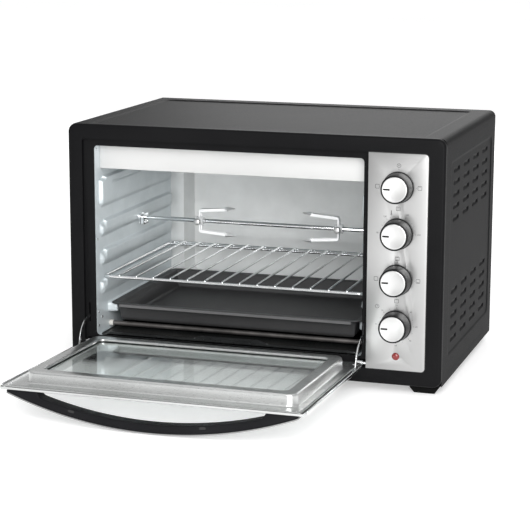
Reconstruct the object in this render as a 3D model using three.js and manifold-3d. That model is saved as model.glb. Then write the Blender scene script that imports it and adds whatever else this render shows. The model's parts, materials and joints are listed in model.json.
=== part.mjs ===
// Countertop rotisserie oven: cabinet, cavity, drop-down glass door, spit, rack, trays and four dials.
// Millimetres, +Z up, -Y is the front. The part stands on its feet, door open.
import * as THREE from 'three';
import { mergeVertices } from 'three/addons/utils/BufferGeometryUtils.js';
import Module from 'manifold-3d';

const wasm = await Module();
wasm.setup();

// ---- driving dimensions: while building, x = 0 is the cabinet's middle, y = 0 its front face and
// ---- z = 0 the bottom edge of the front frame
const cabinetWidth = 526;
const cabinetHeight = 330;
const cabinetDepth = 342.5;
const sheet = 0.8;            // painted and plated sheet
const touchGap = 0.3;         // between pieces that are fastened face to face
const seam = 0.6;             // between the shells of the cabinet

const frameDepth = 8;         // front frame, front to back
const frameCorner = 12;
const frameEdgeRadius = 4;
const sideRail = 20.6;        // width of the frame's left rail, outside the door recess
const topRail = 20.2;
const bottomRail = 20;
const ledgeDepth = 6;         // how far the door recess is sunk
const leftLedge = 14.9;       // ledge between the recess and the cavity opening
const topLedge = 9.8;
const bottomLedge = 14;
const divider = 7.2;          // ledge between the opening and the control panel
const openingCorner = 5.5;

const panelWidth = 79.5;
const panelTopMargin = 20.5;  // from the panel to the frame's top edge
const panelRightMargin = 22;  // from the panel to the frame's right edge
const panelBottom = 21;
const panelCorner = 5;

const cavitySetback = 0.5;    // how far the opening overlaps the cavity's side walls
const cavityRearRoom = 41.9;  // from the cavity's back edge to the rear of the cabinet
const cavityHeadroom = 3;     // cavity ceiling above the opening's top edge
const headerSetback = 26;
const headerHeight = 37;
const runnerDepth = 7;
const runnerFront = 9;        // runner's front end behind the wall's front edge
const runnerChannel = 17;     // height of the channel between two runners
const runnerHeadroom = 48.2;  // from the top runner to the cavity ceiling
const topRunnerExtra = 20.3;  // how much taller the top runner is than the others
const firstRunnerRise = 14.4; // from the tray ledge to the first runner
const trayLedgeDepth = 14;
const trayLedgeHeight = 14.6;
const trayLedgeFront = 38;    // ledge's front end behind the wall's front edge
const recessDepth = 37;       // bump in the cavity's back wall
const recessMargin = 21;      // wall left round that bump
const recessSill = 26;
const recessHead = 27;
const coverBulge = 28;
const coverPlateInset = 1.2;
const bulgeSill = 52;         // rear bulge above the frame's bottom edge
const bulgeHead = 38;         // rear bulge below the frame's top edge

const doorOpenAngle = 88.6;   // degrees from closed to resting open
const hingeHeight = 26;
const hingeSetback = 4;
const doorSideGap = 1.1;
const doorTopGap = 1.3;
const doorThickness = 4.5;
const doorHeel = 5.5;         // from the hinge axis to the door's rear edge
const liftRing = 15.5;        // height of the liner's pressed ring
const ringStrip = 14.5;       // flat top of the ring at its sides
const ringEndStrip = 16.5;
const glassThickness = 4;
const pinRadius = 2;
const pinClearance = 0.3;
const armRadius = 35;         // hinge arms swing on this radius
const armWidth = 5;
const armThickness = 1;
const armClearance = 0.4;

const handleSideMargin = 8;   // from the handle's end to the pan's side
const handlePad = 41;
const handleDepth = 18;
const handleThickness = 10.2;
const handleTrim = 2;
const handleReach = 39.8;     // from the door's outer face to the outside of the bow
const handleSagitta = 35.4;

const footHeight = 11;
const footLength = 39;
const footWidth = 24;
const footInset = 24.5;       // foot's middle from the cabinet's side
const frontFootAt = 19;       // foot's middle from the frame's front face
const rearFootInset = 80.5;   // foot's middle from the cabinet's rear

const spitRadius = 3;
const spitRise = 5.8;         // spit above the lower edge of the runner that carries its bearing
const spitSetback = 7.4;      // spit behind the middle of the cavity
const spitClearance = 0.4;
const forkReach = 54;
const forkSpread = 17;
const forkSplay = 4.5;        // degrees each prong leans away from the rod
const forkBarb = 14;          // length of the arrow tips
const forkStripWidth = 9;
const forkStrip = 1.8;
const leftForkAt = 97;        // fork hub from the cavity's left wall
const rightForkAt = 75;       // fork hub from the cavity's right wall

const rackSideGap = 3;
const rackWire = 2.3;
const rackBarWire = 1.6;
const rackBarPitch = 25.2;
const rackFront = 27;
const rackRearGap = 7.6;
const trayRimGap = 7.5;
const trayWallClearance = 2.5; // from the tray ledges to the tray's wall
const trayFront = 33;
const trayRearGap = 11.6;
const trayHeight = 26;
const traySheet = 0.8;
const trayHeaterGap = 2.8;    // tray floor above the lower heaters' ends
const crumbSideGap = 6;
const crumbLip = 5.6;
const crumbTab = 4.5;

const heaterRadius = 3.25;
const insulatorRadius = 4.2;
const insulatorLength = 10;
const heaterHole = 4.6;
const lowerHeaterRise = 7;    // above the cavity floor
const upperHeaterDrop = 16;   // below the cavity ceiling
const frontHeaterAt = 46.4;   // lower front heater behind the cavity's front edge
const upperFrontHeaterAt = 53.4;
const rearHeaterInset = 60.6; // rear heaters before the cavity's back

const knobBase = 20.7;
const knobTip = 18;
const knobLength = 23;
const topKnobDrop = 44;       // from the panel's top edge to the first dial
const lastKnobRise = 60.6;    // from the panel's bottom edge to the last dial
const shaftRadius = 3;
const shaftHole = 4.8;
const lampRadius = 3.9;
const lampRise = 18.7;

// ---- places that follow from the sizes
const frameLeft = -cabinetWidth / 2;
const frameRight = cabinetWidth / 2;
const panelRight = frameRight - panelRightMargin;
const panelLeft = panelRight - panelWidth;
const panelTop = cabinetHeight - panelTopMargin;
const knobPitch = (panelTop - topKnobDrop - panelBottom - lastKnobRise) / 3;
const dialX = (panelLeft + panelRight) / 2 + 0.75;
const recessLeft = frameLeft + sideRail;
const recessRight = panelLeft - touchGap;
const recessTop = cabinetHeight - topRail;
const openingLeft = recessLeft + leftLedge;
const openingRight = recessRight - divider;
const openingTop = recessTop - topLedge;
const openingBottom = bottomRail + bottomLedge;
const cavityLeft = openingLeft + cavitySetback;
const cavityRight = openingRight - cavitySetback;
const cavityMiddle = (cavityLeft + cavityRight) / 2;
const cavityFront = frameDepth + seam;
const cavityBack = cabinetDepth - cavityRearRoom;
const cavityTop = openingTop + cavityHeadroom;
const cavityBottom = openingBottom;
const lowerHeaterZ = cavityBottom + lowerHeaterRise;
const upperHeaterZ = cavityTop - upperHeaterDrop;
const trayFloor = lowerHeaterZ + insulatorRadius + trayHeaterGap;
const trayTop = trayFloor + trayHeight;
const trayRest = trayTop - seam - traySheet;
const trayRim = trayLedgeDepth - trayRimGap + trayWallClearance;
const firstRunner = trayRest + firstRunnerRise;
const runnerPitch = (cavityTop - runnerHeadroom - topRunnerExtra - firstRunner + runnerChannel) / 4;
const runnerHeight = runnerPitch - runnerChannel;
const rackRest = firstRunner + runnerHeight;
const spitHeight = firstRunner + 2 * runnerPitch + spitRise;
const spitDepth = (cavityFront + cavityBack) / 2 + spitSetback;

// ---- shape helpers
const axisX = new THREE.Vector3(1, 0, 0);
const axisY = new THREE.Vector3(0, 1, 0);
const axisZ = new THREE.Vector3(0, 0, 1);
const lyingFlat = [axisX, axisY, axisZ];          // section in x, y; height in z
const standing = [axisX, axisZ, axisY];           // section in x, z; height in y
const onLeftWall = [axisY, axisZ, axisX];         // section in y, z; height in x
const onRightWall = [axisY, axisZ, axisX.clone().negate()];

// a closed mesh with shared vertices, no collapsed faces, and its faces pointing out
function closed(geometry) {
  const bare = geometry.clone();
  bare.deleteAttribute('normal');
  bare.deleteAttribute('uv');
  const merged = mergeVertices(bare, 1e-4);
  const corners = [];
  for (let i = 0; i < merged.index.count; i += 3) {
    const face = [0, 1, 2].map((k) => merged.index.getX(i + k));
    if (new Set(face).size === 3) corners.push(...face);
  }
  const [a, b, c] = [new THREE.Vector3(), new THREE.Vector3(), new THREE.Vector3()];
  let volume = 0;
  for (let i = 0; i < corners.length; i += 3) {
    [a, b, c].forEach((point, k) => point.fromBufferAttribute(merged.attributes.position, corners[i + k]));
    volume += a.dot(b.cross(c));
  }
  if (volume < 0) corners.reverse();
  merged.setIndex(corners);
  return merged;
}

function solid(geometry) {
  const mesh = closed(geometry);
  return new wasm.Manifold(new wasm.Mesh({
    numProp: 3,
    vertProperties: Float32Array.from(mesh.attributes.position.array),
    triVerts: Uint32Array.from(mesh.index.array),
  }));
}

function surface(body) {
  const { vertProperties, triVerts } = body.getMesh();
  const geometry = new THREE.BufferGeometry();
  geometry.setAttribute('position', new THREE.BufferAttribute(Float32Array.from(vertProperties), 3));
  geometry.setIndex(new THREE.BufferAttribute(Uint32Array.from(triVerts), 1));
  return geometry;
}

function carve(base, { join = [], cut = [] }) {
  let body = solid(base);
  for (const piece of join) body = body.add(solid(piece));
  for (const piece of cut) body = body.subtract(solid(piece));
  return surface(body);
}

function block([x0, x1], [y0, y1], [z0, z1]) {
  return new THREE.BoxGeometry(x1 - x0, y1 - y0, z1 - z0)
    .translate((x0 + x1) / 2, (y0 + y1) / 2, (z0 + z1) / 2);
}

// a round bar from one point to another, both on a line along X, Y or Z
function bar(from, to, radius, sides = 16) {
  const start = new THREE.Vector3(...from);
  const along = new THREE.Vector3(...to).sub(start);
  const turn = new THREE.Quaternion().setFromUnitVectors(axisY, along.clone().normalize());
  return new THREE.CylinderGeometry(radius, radius, along.length(), sides)
    .applyQuaternion(turn)
    .translate(start.x + along.x / 2, start.y + along.y / 2, start.z + along.z / 2);
}

// a turned piece: profile points are [radius, distance], distance measured along the given axis
function turned(profile, axis, origin, sides = 24) {
  const turn = new THREE.Quaternion().setFromUnitVectors(axisY, axis);
  return new THREE.LatheGeometry(profile.map(([r, d]) => new THREE.Vector2(r, d)), sides)
    .applyQuaternion(turn)
    .translate(...origin);
}

// rounded rectangles [a0, a1, b0, b1, corner, height] skinned in order; a loop joins last to first,
// otherwise both ends are capped
function skinned(sections, { basis = lyingFlat, loop = false, steps = 3 } = {}) {
  const points = [];
  const ringSize = 4 * (steps + 1);
  for (const [a0, a1, b0, b1, corner, height] of sections) {
    const radius = Math.max(corner, 0.2);
    const centres = [[a1 - radius, b1 - radius], [a0 + radius, b1 - radius],
      [a0 + radius, b0 + radius], [a1 - radius, b0 + radius]];
    centres.forEach(([ca, cb], quarter) => {
      for (let i = 0; i <= steps; i += 1) {
        const angle = (quarter + i / steps) * Math.PI / 2;
        points.push(ca + radius * Math.cos(angle), cb + radius * Math.sin(angle), height);
      }
    });
  }
  const faces = [];
  const rings = sections.length;
  for (let ring = 0; ring < (loop ? rings : rings - 1); ring += 1) {
    const next = (ring + 1) % rings;
    for (let i = 0; i < ringSize; i += 1) {
      const j = (i + 1) % ringSize;
      const [p, q] = [ring * ringSize + i, ring * ringSize + j];
      const [r, s] = [next * ringSize + i, next * ringSize + j];
      faces.push(p, q, s, p, s, r);
    }
  }
  if (!loop) {
    const last = (rings - 1) * ringSize;
    for (let i = 1; i < ringSize - 1; i += 1) {
      faces.push(0, i + 1, i, last, last + i, last + i + 1);
    }
  }
  const geometry = new THREE.BufferGeometry();
  geometry.setAttribute('position', new THREE.Float32BufferAttribute(points, 3));
  geometry.setIndex(faces);
  return geometry.applyMatrix4(new THREE.Matrix4().makeBasis(...basis));
}

const grown = ([a0, a1, b0, b1, corner], by, height) => [a0 - by, a1 + by, b0 - by, b1 + by,
  corner + by, height];

// an outline in x, z pushed from y0 to y1
function pushedBack(outline, y0, y1, curveSegments = 6) {
  return new THREE.ExtrudeGeometry(outline, { depth: y1 - y0, bevelEnabled: false, curveSegments })
    .rotateX(Math.PI / 2)
    .translate(0, y1, 0);
}

// an outline in y, z pushed from x0 to x1
function pushedAcross(outline, x0, x1, curveSegments = 6) {
  return new THREE.ExtrudeGeometry(outline, { depth: x1 - x0, bevelEnabled: false, curveSegments })
    .applyMatrix4(new THREE.Matrix4().makeBasis(axisY, axisZ, axisX))
    .translate(x0, 0, 0);
}

const polygon = (points) => new THREE.Shape(points.map(([a, b]) => new THREE.Vector2(a, b)));

// ---- finishes
const finish = (color, roughness, metalness) => (
  new THREE.MeshStandardMaterial({ color, roughness, metalness }));
const blackFrame = finish(0x161617, 0.45, 0.1);
const blackPaint = finish(0x1d1d1f, 0.5, 0.25);
const brushed = finish(0xcfcfcd, 0.35, 0.9);
const pressedSteel = finish(0xbcc0bf, 0.3, 0.95);
const plated = finish(0xb3bbbd, 0.42, 0.75);
const chrome = finish(0xdedede, 0.12, 1);
const knobBlack = finish(0x19191b, 0.4, 0);
const knobSilver = finish(0xe4e4e2, 0.28, 0.8);
const bakedEnamel = finish(0x2a2a2b, 0.5, 0.3);
const glass = new THREE.MeshStandardMaterial({ color: 0xd5e2df, roughness: 0.05, metalness: 0,
  transparent: true, opacity: 0.35 });
const silicone = finish(0x1b1b1b, 0.8, 0);
const rubber = finish(0x151515, 0.8, 0);
const redLens = finish(0xb3201c, 0.3, 0);
const elementSteel = finish(0x4b4a48, 0.5, 0.7);

const oven = new THREE.Group();
const cabinet = new THREE.Group();
oven.add(cabinet);

function add(group, name, geometry, material) {
  const mesh = new THREE.Mesh(closed(geometry), material);
  mesh.name = name;
  group.add(mesh);
}

// ---- hinge line and door limits, shared by the frame and the door
const doorLeft = recessLeft + doorSideGap;
const doorRight = recessRight - doorSideGap;
const trimWidth = 2.4;
const trimGap = touchGap;
const panLeft = doorLeft + trimWidth + trimGap;
const panRight = doorRight - trimWidth - trimGap;
const handleHalfLength = (panRight - panLeft) / 2 - handleSideMargin;
const doorTop = recessTop - doorTopGap - hingeHeight;
const innerFace = ledgeDepth - armClearance - hingeSetback;
const outerFace = innerFace - doorThickness;
const armXs = { left: panLeft + sheet + armClearance + armThickness / 2,
  right: panRight - sheet - armClearance - armThickness / 2 };
const armInner = armRadius - armWidth / 2;
const armOuter = armRadius + armWidth / 2;
const knuckleLength = 10;
const knuckleRadius = pinRadius + 1.8;
const pinBore = pinRadius + pinClearance;
const pinGrip = 8;            // length of pin held in the frame

// ---- dials down the control panel, top to bottom
const dials = ['function', 'thermostat', 'heat', 'timer'].map((name, row) => ({
  name, z: panelTop - topKnobDrop - row * knobPitch }));
const lampZ = panelBottom + lampRise;

// ---- front frame: one moulding with the door recess, cavity opening and dial holes
function buildFrontFrame() {
  const rim = [frameLeft, frameRight, 0, cabinetHeight, frameCorner];
  const outer = skinned([
    grown(rim, -frameEdgeRadius, 0), grown(rim, -0.3 * frameEdgeRadius, 0.3 * frameEdgeRadius),
    grown(rim, 0, frameEdgeRadius), grown(rim, 0, frameDepth)], { basis: standing, steps: 5 });
  const recess = skinned([
    [recessLeft, recessRight, bottomRail, recessTop, 4, -1],
    [recessLeft, recessRight, bottomRail, recessTop, 4, ledgeDepth]], { basis: standing });
  const opening = skinned([
    [openingLeft, openingRight, openingBottom, openingTop, openingCorner, -1],
    [openingLeft, openingRight, openingBottom, openingTop, openingCorner, frameDepth + 1],
  ], { basis: standing, steps: 4 });
  const through = [-1, frameDepth + 1];
  const armSlots = Object.values(armXs).map((x) => block(
    [x - armThickness / 2 - armClearance, x + armThickness / 2 + armClearance], through,
    [hingeHeight + armInner - 6, hingeHeight + armOuter + 16]));
  const knuckleRoom = knuckleRadius + 1;
  const pockets = [[panLeft - 1, panLeft + knuckleLength + 2], [panRight - knuckleLength - 2, panRight + 1]]
    .map((span) => block(span, through,
      [hingeHeight - knuckleRoom, hingeHeight + knuckleRoom]));
  const pinHoles = [[recessLeft - pinGrip - 1, recessLeft + 1], [recessRight - 1, recessRight + pinGrip + 1]]
    .map(([x0, x1]) => bar([x0, hingeSetback, hingeHeight], [x1, hingeSetback, hingeHeight], pinBore));
  const dialHoles = dials.map(({ z }) => bar([dialX, -1, z], [dialX, frameDepth + 1, z], shaftHole));
  const lampHole = bar([dialX, -1, lampZ], [dialX, frameDepth + 1, lampZ], lampRadius + spitClearance);
  return carve(outer, {
    cut: [recess, opening, ...armSlots, ...pockets, ...pinHoles, ...dialHoles, lampHole] });
}
add(cabinet, 'front_frame', buildFrontFrame(), blackFrame);

// ---- control panel: a thin plate on the frame, square on the door side
function buildControlPanel() {
  const outline = new THREE.Shape();
  outline.moveTo(panelLeft, panelBottom);
  outline.lineTo(panelRight - panelCorner, panelBottom);
  outline.absarc(panelRight - panelCorner, panelBottom + panelCorner, panelCorner, -Math.PI / 2, 0);
  outline.absarc(panelRight - panelCorner, panelTop - panelCorner, panelCorner, 0, Math.PI / 2);
  outline.lineTo(panelLeft, panelTop);
  outline.closePath();
  const holes = [...dials.map(({ z }) => [z, shaftHole]), [lampZ, lampRadius + spitClearance]];
  for (const [z, radius] of holes) {
    const hole = new THREE.Path();
    hole.absarc(dialX, z, radius, 0, 2 * Math.PI);
    outline.holes.push(hole);
  }
  return pushedBack(outline, -touchGap - sheet, -touchGap, 6);
}
add(cabinet, 'control_panel', buildControlPanel(), brushed);

// ---- outer wrap: one sheet over the top and both sides
const wrapInset = 0.4;
const wrapCorner = 9;
function wrapEdge(inset, corner, path) {
  const x = frameRight - wrapInset - inset;
  const top = cabinetHeight - wrapInset - inset;
  path.lineTo(x, top - corner);
  path.absarc(x - corner, top - corner, corner, 0, Math.PI / 2, false);
  path.absarc(-x + corner, top - corner, corner, Math.PI / 2, Math.PI, false);
  path.lineTo(-x, touchGap);
}
function buildWrap() {
  const outside = new THREE.Shape();
  outside.moveTo(frameRight - wrapInset, touchGap);
  wrapEdge(0, wrapCorner, outside);
  const inside = new THREE.Shape();
  inside.moveTo(frameRight - wrapInset - sheet, touchGap - 1);
  wrapEdge(sheet, wrapCorner - sheet, inside);
  inside.lineTo(-(frameRight - wrapInset - sheet), touchGap - 1);
  const start = frameDepth + touchGap;
  return carve(pushedBack(outside, start, cabinetDepth), {
    cut: [pushedBack(inside, start - 1, cabinetDepth + 1)] });
}
add(cabinet, 'outer_wrap', buildWrap(), blackPaint);

// ---- base pan and feet
const shellSide = frameRight - wrapInset - sheet - seam;
const pan = [-shellSide, shellSide, frameDepth + seam, cabinetDepth - 1.3, 3];
add(cabinet, 'base_pan', skinned([
  grown(pan, -sheet, sheet), grown(pan, -sheet, 12), grown(pan, 0, 12), grown(pan, 0, 0)]), blackPaint);

const footX = frameRight - footInset;
const footRows = { front: frontFootAt, rear: cabinetDepth - rearFootInset };
for (const [row, y] of Object.entries(footRows)) {
  for (const [side, sign] of [['left', -1], ['right', 1]]) {
    const plan = [sign * footX - footLength / 2, sign * footX + footLength / 2,
      y - footWidth / 2, y + footWidth / 2, 3];
    const taper = 5.5;
    add(cabinet, `foot_${row}_${side}`, skinned([
      grown(plan, -taper, -footHeight), grown(plan, -taper + 0.8, -footHeight + 1),
      grown(plan, 0, -2.5), grown(plan, 0, -touchGap)], { steps: 1 }), rubber);
  }
}

// ---- rear cover: a plate with a pressed bulge, vent slots and the cord's bush
const coverPlate = [-shellSide - touchGap, shellSide + touchGap, coverPlateInset,
  cabinetHeight - wrapInset - sheet - touchGap, wrapCorner - sheet];
const coverFace = cabinetDepth - touchGap;
const bulgeBase = [cavityLeft + 5, cavityRight + 20, bulgeSill, cabinetHeight - bulgeHead, 16];
const bulgeTaper = 9;
const slotWidth = 4;
const slotHeight = 30;
const slotPitch = 32;
const slotRowPitch = 96;
const glandX = frameRight - 46;
const glandZ = 44;
const glandRadius = 7;
function buildRearCover() {
  const shell = skinned([
    grown(bulgeBase, -bulgeTaper - sheet, coverFace + coverBulge - sheet),
    grown(bulgeBase, -sheet, coverFace - sheet),
    grown(coverPlate, 0, coverFace - sheet), grown(coverPlate, 0, coverFace),
    grown(bulgeBase, 0, coverFace), grown(bulgeBase, -bulgeTaper, coverFace + coverBulge),
  ], { basis: standing });
  const slots = [];
  for (const row of [-0.5, 0.5]) {
    for (let column = -4; column <= 4; column += 1) {
      const x = cavityMiddle + column * slotPitch;
      const z = (bulgeBase[2] + bulgeBase[3]) / 2 + row * slotRowPitch;
      slots.push(block([x - slotWidth / 2, x + slotWidth / 2], [coverFace, coverFace + coverBulge + 1],
        [z - slotHeight / 2, z + slotHeight / 2]));
    }
  }
  const glandHole = bar([glandX, coverFace - 2, glandZ], [glandX, coverFace + 2, glandZ],
    glandRadius + touchGap);
  return carve(shell, { cut: [...slots, glandHole] });
}
add(cabinet, 'rear_cover', buildRearCover(), blackPaint);
add(cabinet, 'cord_gland', turned([
  [0, -8], [glandRadius, -8], [glandRadius, touchGap], [glandRadius + 2.5, touchGap],
  [glandRadius + 1.5, 4], [3.6, 4], [3.6, -4], [0, -4]], axisY, [glandX, coverFace, glandZ], 14), rubber);

// ---- cavity: side walls with pressed runners, ceiling, floor, back and header
const runners = [0, 1, 2, 3].map((level) => {
  const z0 = firstRunner + level * runnerPitch;
  const z1 = z0 + runnerHeight + (level === 3 ? topRunnerExtra : 0);
  return { span: [cavityFront + runnerFront, cavityBack - 8, z0, z1, 5], depth: runnerDepth, draft: 3 };
});
const trayLedge = [cavityFront + trayLedgeFront, cavityBack - 10, trayRest - trayLedgeHeight, trayRest, 4];
runners.push({ span: trayLedge, depth: trayLedgeDepth, draft: 1 });

const heaters = {
  lower_front: [cavityFront + frontHeaterAt, lowerHeaterZ],
  lower_rear: [cavityBack - rearHeaterInset, lowerHeaterZ],
  upper_front: [cavityFront + upperFrontHeaterAt, upperHeaterZ],
  upper_rear: [cavityBack - rearHeaterInset, upperHeaterZ] };
const bearingHole = 8;

function buildSideWall(inner, basis, withDrive) {
  const outward = -basis[2].x;
  const [thin, thick] = [inner, inner + outward * sheet].sort((a, b) => a - b);
  const plate = block([thin, thick], [cavityFront, cavityBack], [cavityBottom, cavityTop]);
  const wall = (geometry) => geometry.translate(inner, 0, 0);
  const join = runners.map(({ span, depth, draft }) => wall(skinned([
    grown(span, 0, -sheet / 2), grown(span, -draft, depth)], { basis, steps: 1 })));
  const hollows = runners.map(({ span, depth, draft }) => wall(skinned([
    grown(span, -sheet, -sheet - 1), grown(span, -sheet - draft, depth - sheet)], { basis, steps: 1 })));
  const heaterHoles = Object.values(heaters).map(([y, z]) => (
    bar([inner - 5, y, z], [inner + 5, y, z], heaterHole)));
  const past = runnerDepth + 2;
  const drive = bar([inner - past, spitDepth, spitHeight], [inner + past, spitDepth, spitHeight],
    bearingHole, 20);
  return carve(plate, { join, cut: [...hollows, ...heaterHoles, ...(withDrive ? [drive] : [])] });
}
add(cabinet, 'cavity_left_wall', buildSideWall(cavityLeft, onLeftWall, false), plated);
add(cabinet, 'cavity_right_wall', buildSideWall(cavityRight, onRightWall, true), plated);

const cavitySpan = [cavityLeft - sheet, cavityRight + sheet];
add(cabinet, 'cavity_ceiling', block(cavitySpan, [cavityFront, cavityBack],
  [cavityTop + touchGap, cavityTop + touchGap + sheet]), plated);
add(cabinet, 'cavity_floor', block(cavitySpan, [cavityFront, cavityBack],
  [cavityBottom - touchGap - sheet, cavityBottom - touchGap]), plated);

const backFace = cavityBack + touchGap;
const backPlate = [cavitySpan[0], cavitySpan[1], cavityBottom - 1.1, cavityTop + 1.1, 1];
const backRecess = [cavityLeft + recessMargin, cavityRight - recessMargin, cavityBottom + recessSill,
  cavityTop - recessHead, 14];
add(cabinet, 'cavity_back', skinned([
  grown(backRecess, -4, backFace + recessDepth), grown(backRecess, 0, backFace),
  grown(backPlate, 0, backFace), grown(backPlate, 0, backFace + sheet),
  grown(backRecess, sheet, backFace + sheet), grown(backRecess, sheet - 4, backFace + recessDepth + sheet),
], { basis: standing, steps: 4 }), plated);

const headerBottom = cavityTop - headerHeight;
const headerTop = cavityTop - touchGap;
add(cabinet, 'cavity_header', pushedAcross(polygon([
  [headerSetback, headerBottom], [headerSetback + sheet, headerBottom],
  [headerSetback + sheet, headerTop - sheet], [headerSetback + 14, headerTop - sheet],
  [headerSetback + 14, headerTop], [headerSetback, headerTop]]),
cavityLeft + touchGap, cavityRight - touchGap), brushed);

// ---- heating elements: steel tube, ceramic ends that pass the side walls, and terminal pins
for (const [name, [y, z]] of Object.entries(heaters)) {
  const end = insulatorLength / 2;
  const [from, to] = [cavityLeft - end, cavityRight + end];
  const pin = 4;
  const profile = [[0, from - pin], [1.6, from - pin], [1.6, from], [insulatorRadius, from],
    [insulatorRadius, from + insulatorLength], [heaterRadius, from + insulatorLength],
    [heaterRadius, to - insulatorLength], [insulatorRadius, to - insulatorLength],
    [insulatorRadius, to], [1.6, to], [1.6, to + pin], [0, to + pin]];
  add(cabinet, `heater_${name}`, turned(profile, axisX, [0, y, z], 12), elementSteel);
}

// ---- spit bearing, and its motor behind the right wall
const journalRadius = spitRadius - 0.4;
const bearingLength = 9;
const notch = journalRadius + spitClearance;
const bearingFace = cavityLeft + runnerDepth + touchGap;   // it is riveted to a runner
function buildSpitBearing() {
  const outline = new THREE.Shape();
  const half = 8;
  const [low, high] = [spitHeight - 9, spitHeight + 7];
  outline.moveTo(spitDepth - half, low);
  outline.lineTo(spitDepth + half, low);
  outline.lineTo(spitDepth + half, high - 4);
  outline.lineTo(spitDepth + half - 3, high);
  outline.lineTo(spitDepth + notch, high);
  outline.lineTo(spitDepth + notch, spitHeight);
  outline.absarc(spitDepth, spitHeight, notch, 0, Math.PI, true);
  outline.lineTo(spitDepth - notch, high);
  outline.lineTo(spitDepth - half + 3, high);
  outline.lineTo(spitDepth - half, high - 4);
  outline.closePath();
  return pushedAcross(outline, bearingFace, bearingFace + bearingLength);
}
add(cabinet, 'spit_bearing', buildSpitBearing(), chrome);

const motorFace = cavityRight + sheet + touchGap;
const motorLength = 22;
const motorRadius = 25;
add(cabinet, 'spit_motor', turned([[0, 0], [motorRadius, 0], [motorRadius, motorLength], [7, motorLength],
  [7, motorLength + 3], [0, motorLength + 3]],
axisX, [motorFace, spitDepth, spitHeight], 16), pressedSteel);

// ---- door, built closed and turned about the hinge line to where it rests open
const door = new THREE.Group();
door.position.set(0, hingeSetback, hingeHeight);
door.rotation.x = THREE.MathUtils.degToRad(doorOpenAngle);
oven.add(door);

const panRim = [panLeft, panRight, doorHeel, doorTop, 3];
const ringLeft = openingLeft + 14;
const ringRight = openingRight - 12;
const ring = [ringLeft, ringRight, 38, doorTop - 22, 13];
const windowRect = [ringLeft + ringStrip + 2, ringRight - ringStrip - 2,
  ring[2] + ringEndStrip + 2, ring[3] - ringEndStrip - 2, 7];
const ringTop = innerFace + liftRing;
const lipBottom = ringTop - 2.8;
const gasketThickness = 0.7;
const glassTop = lipBottom - gasketThickness - 2 * touchGap;
const glassBottom = glassTop - glassThickness;

function buildDoorPan() {
  const panSheet = 1;
  const upstand = glassBottom - touchGap;
  const shell = skinned([
    grown(panRim, 0, outerFace), grown(panRim, 0, outerFace + 3.4), grown(panRim, -sheet, outerFace + 3.4),
    grown(panRim, -sheet, outerFace + panSheet), grown(windowRect, panSheet, outerFace + panSheet),
    grown(windowRect, panSheet, upstand), grown(windowRect, 0, upstand), grown(windowRect, 0, outerFace),
  ], { basis: standing, loop: true });
  const [first, last] = [panLeft + 0.5, panRight - 0.5];
  const spans = [[first, first + knuckleLength], [last - knuckleLength, last]];
  const knuckles = spans.map(([x0, x1]) => bar([x0, 0, 0], [x1, 0, 0], knuckleRadius, 16));
  const webs = spans.map((span) => block(span, [outerFace, outerFace + 2.2], [0.5, doorHeel + 2]));
  const bores = spans.map(([x0, x1]) => bar([x0 - 1, 0, 0], [x1 + 1, 0, 0], pinBore, 12));
  return carve(shell, { join: [...knuckles, ...webs], cut: bores });
}
add(door, 'door_pan', buildDoorPan(), pressedSteel);

function buildDoorLiner() {
  const armRoom = armThickness / 2 + armClearance;
  const flange = [armXs.left + armRoom, armXs.right - armRoom, doorHeel + 0.8, doorTop - 0.8, 3];
  return skinned([
    grown(flange, 0, innerFace - sheet), grown(flange, 0, innerFace), grown(ring, 0, innerFace),
    grown(ring, -1, ringTop - 2), grown(ring, -2.6, ringTop), grown(windowRect, 1, ringTop),
    grown(windowRect, 0, ringTop - 1), grown(windowRect, 0, lipBottom),
    grown(windowRect, sheet, lipBottom), grown(windowRect, sheet, ringTop - 1.3 * sheet),
    grown(ring, -2.6 - sheet, ringTop - 1.3 * sheet), grown(ring, -1 - sheet, ringTop - 2 - sheet),
    grown(ring, -sheet, innerFace - sheet)], { basis: standing, loop: true, steps: 5 });
}
add(door, 'door_liner', buildDoorLiner(), pressedSteel);

const glassLap = 6;            // how far the glass reaches under the ring
const glassRect = windowRect.slice(0, 4).map((edge, i) => edge + (i % 2 ? glassLap : -glassLap)).concat(8);
const [gasketLow, gasketHigh] = [glassTop + touchGap, glassTop + touchGap + gasketThickness];
add(door, 'glass_gasket', skinned([
  grown(glassRect, 0, gasketLow), grown(glassRect, 0, gasketHigh),
  grown(windowRect, 1.2, gasketHigh), grown(windowRect, 1.2, gasketLow),
], { basis: standing, loop: true }), silicone);
add(door, 'window_glass', skinned([grown(glassRect, 0, glassBottom), grown(glassRect, 0, glassTop)],
  { basis: standing }), glass);

// side trims: strips with rounded outer edges beside the pan
const trimSpans = { left: [doorLeft, doorLeft + trimWidth], right: [doorRight - trimWidth, doorRight] };
for (const [side, [x0, x1]] of Object.entries(trimSpans)) {
  add(door, `side_trim_${side}`, skinned([
    [x0, x1, outerFace - 0.3, innerFace + 0.1, 1.1, doorHeel + 16],
    [x0, x1, outerFace - 0.3, innerFace + 0.1, 1.1, doorTop - 12]], { steps: 3 }), chrome);
}

// handle: a bow between two pads on the pan, with a metal strip along its outside
const handleX = (panLeft + panRight) / 2 + 2;
const handleBottom = doorTop - handleDepth;
const handleFoot = outerFace - touchGap;
function bow(depthAtMiddle, halfChord, sagitta, steps, reverse) {
  const radius = (halfChord ** 2 + sagitta ** 2) / (2 * sagitta);
  const spread = Math.asin(halfChord / radius);
  const points = [];
  for (let i = 0; i <= steps; i += 1) {
    const angle = (2 * i / steps - 1) * spread;
    points.push([handleX + radius * Math.sin(angle), depthAtMiddle + radius * (1 - Math.cos(angle))]);
  }
  return reverse ? points.reverse() : points;
}
const bowOutside = outerFace - handleReach;
const gripOutside = bowOutside + handleTrim + touchGap;
const gripInside = gripOutside + handleThickness;
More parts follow.
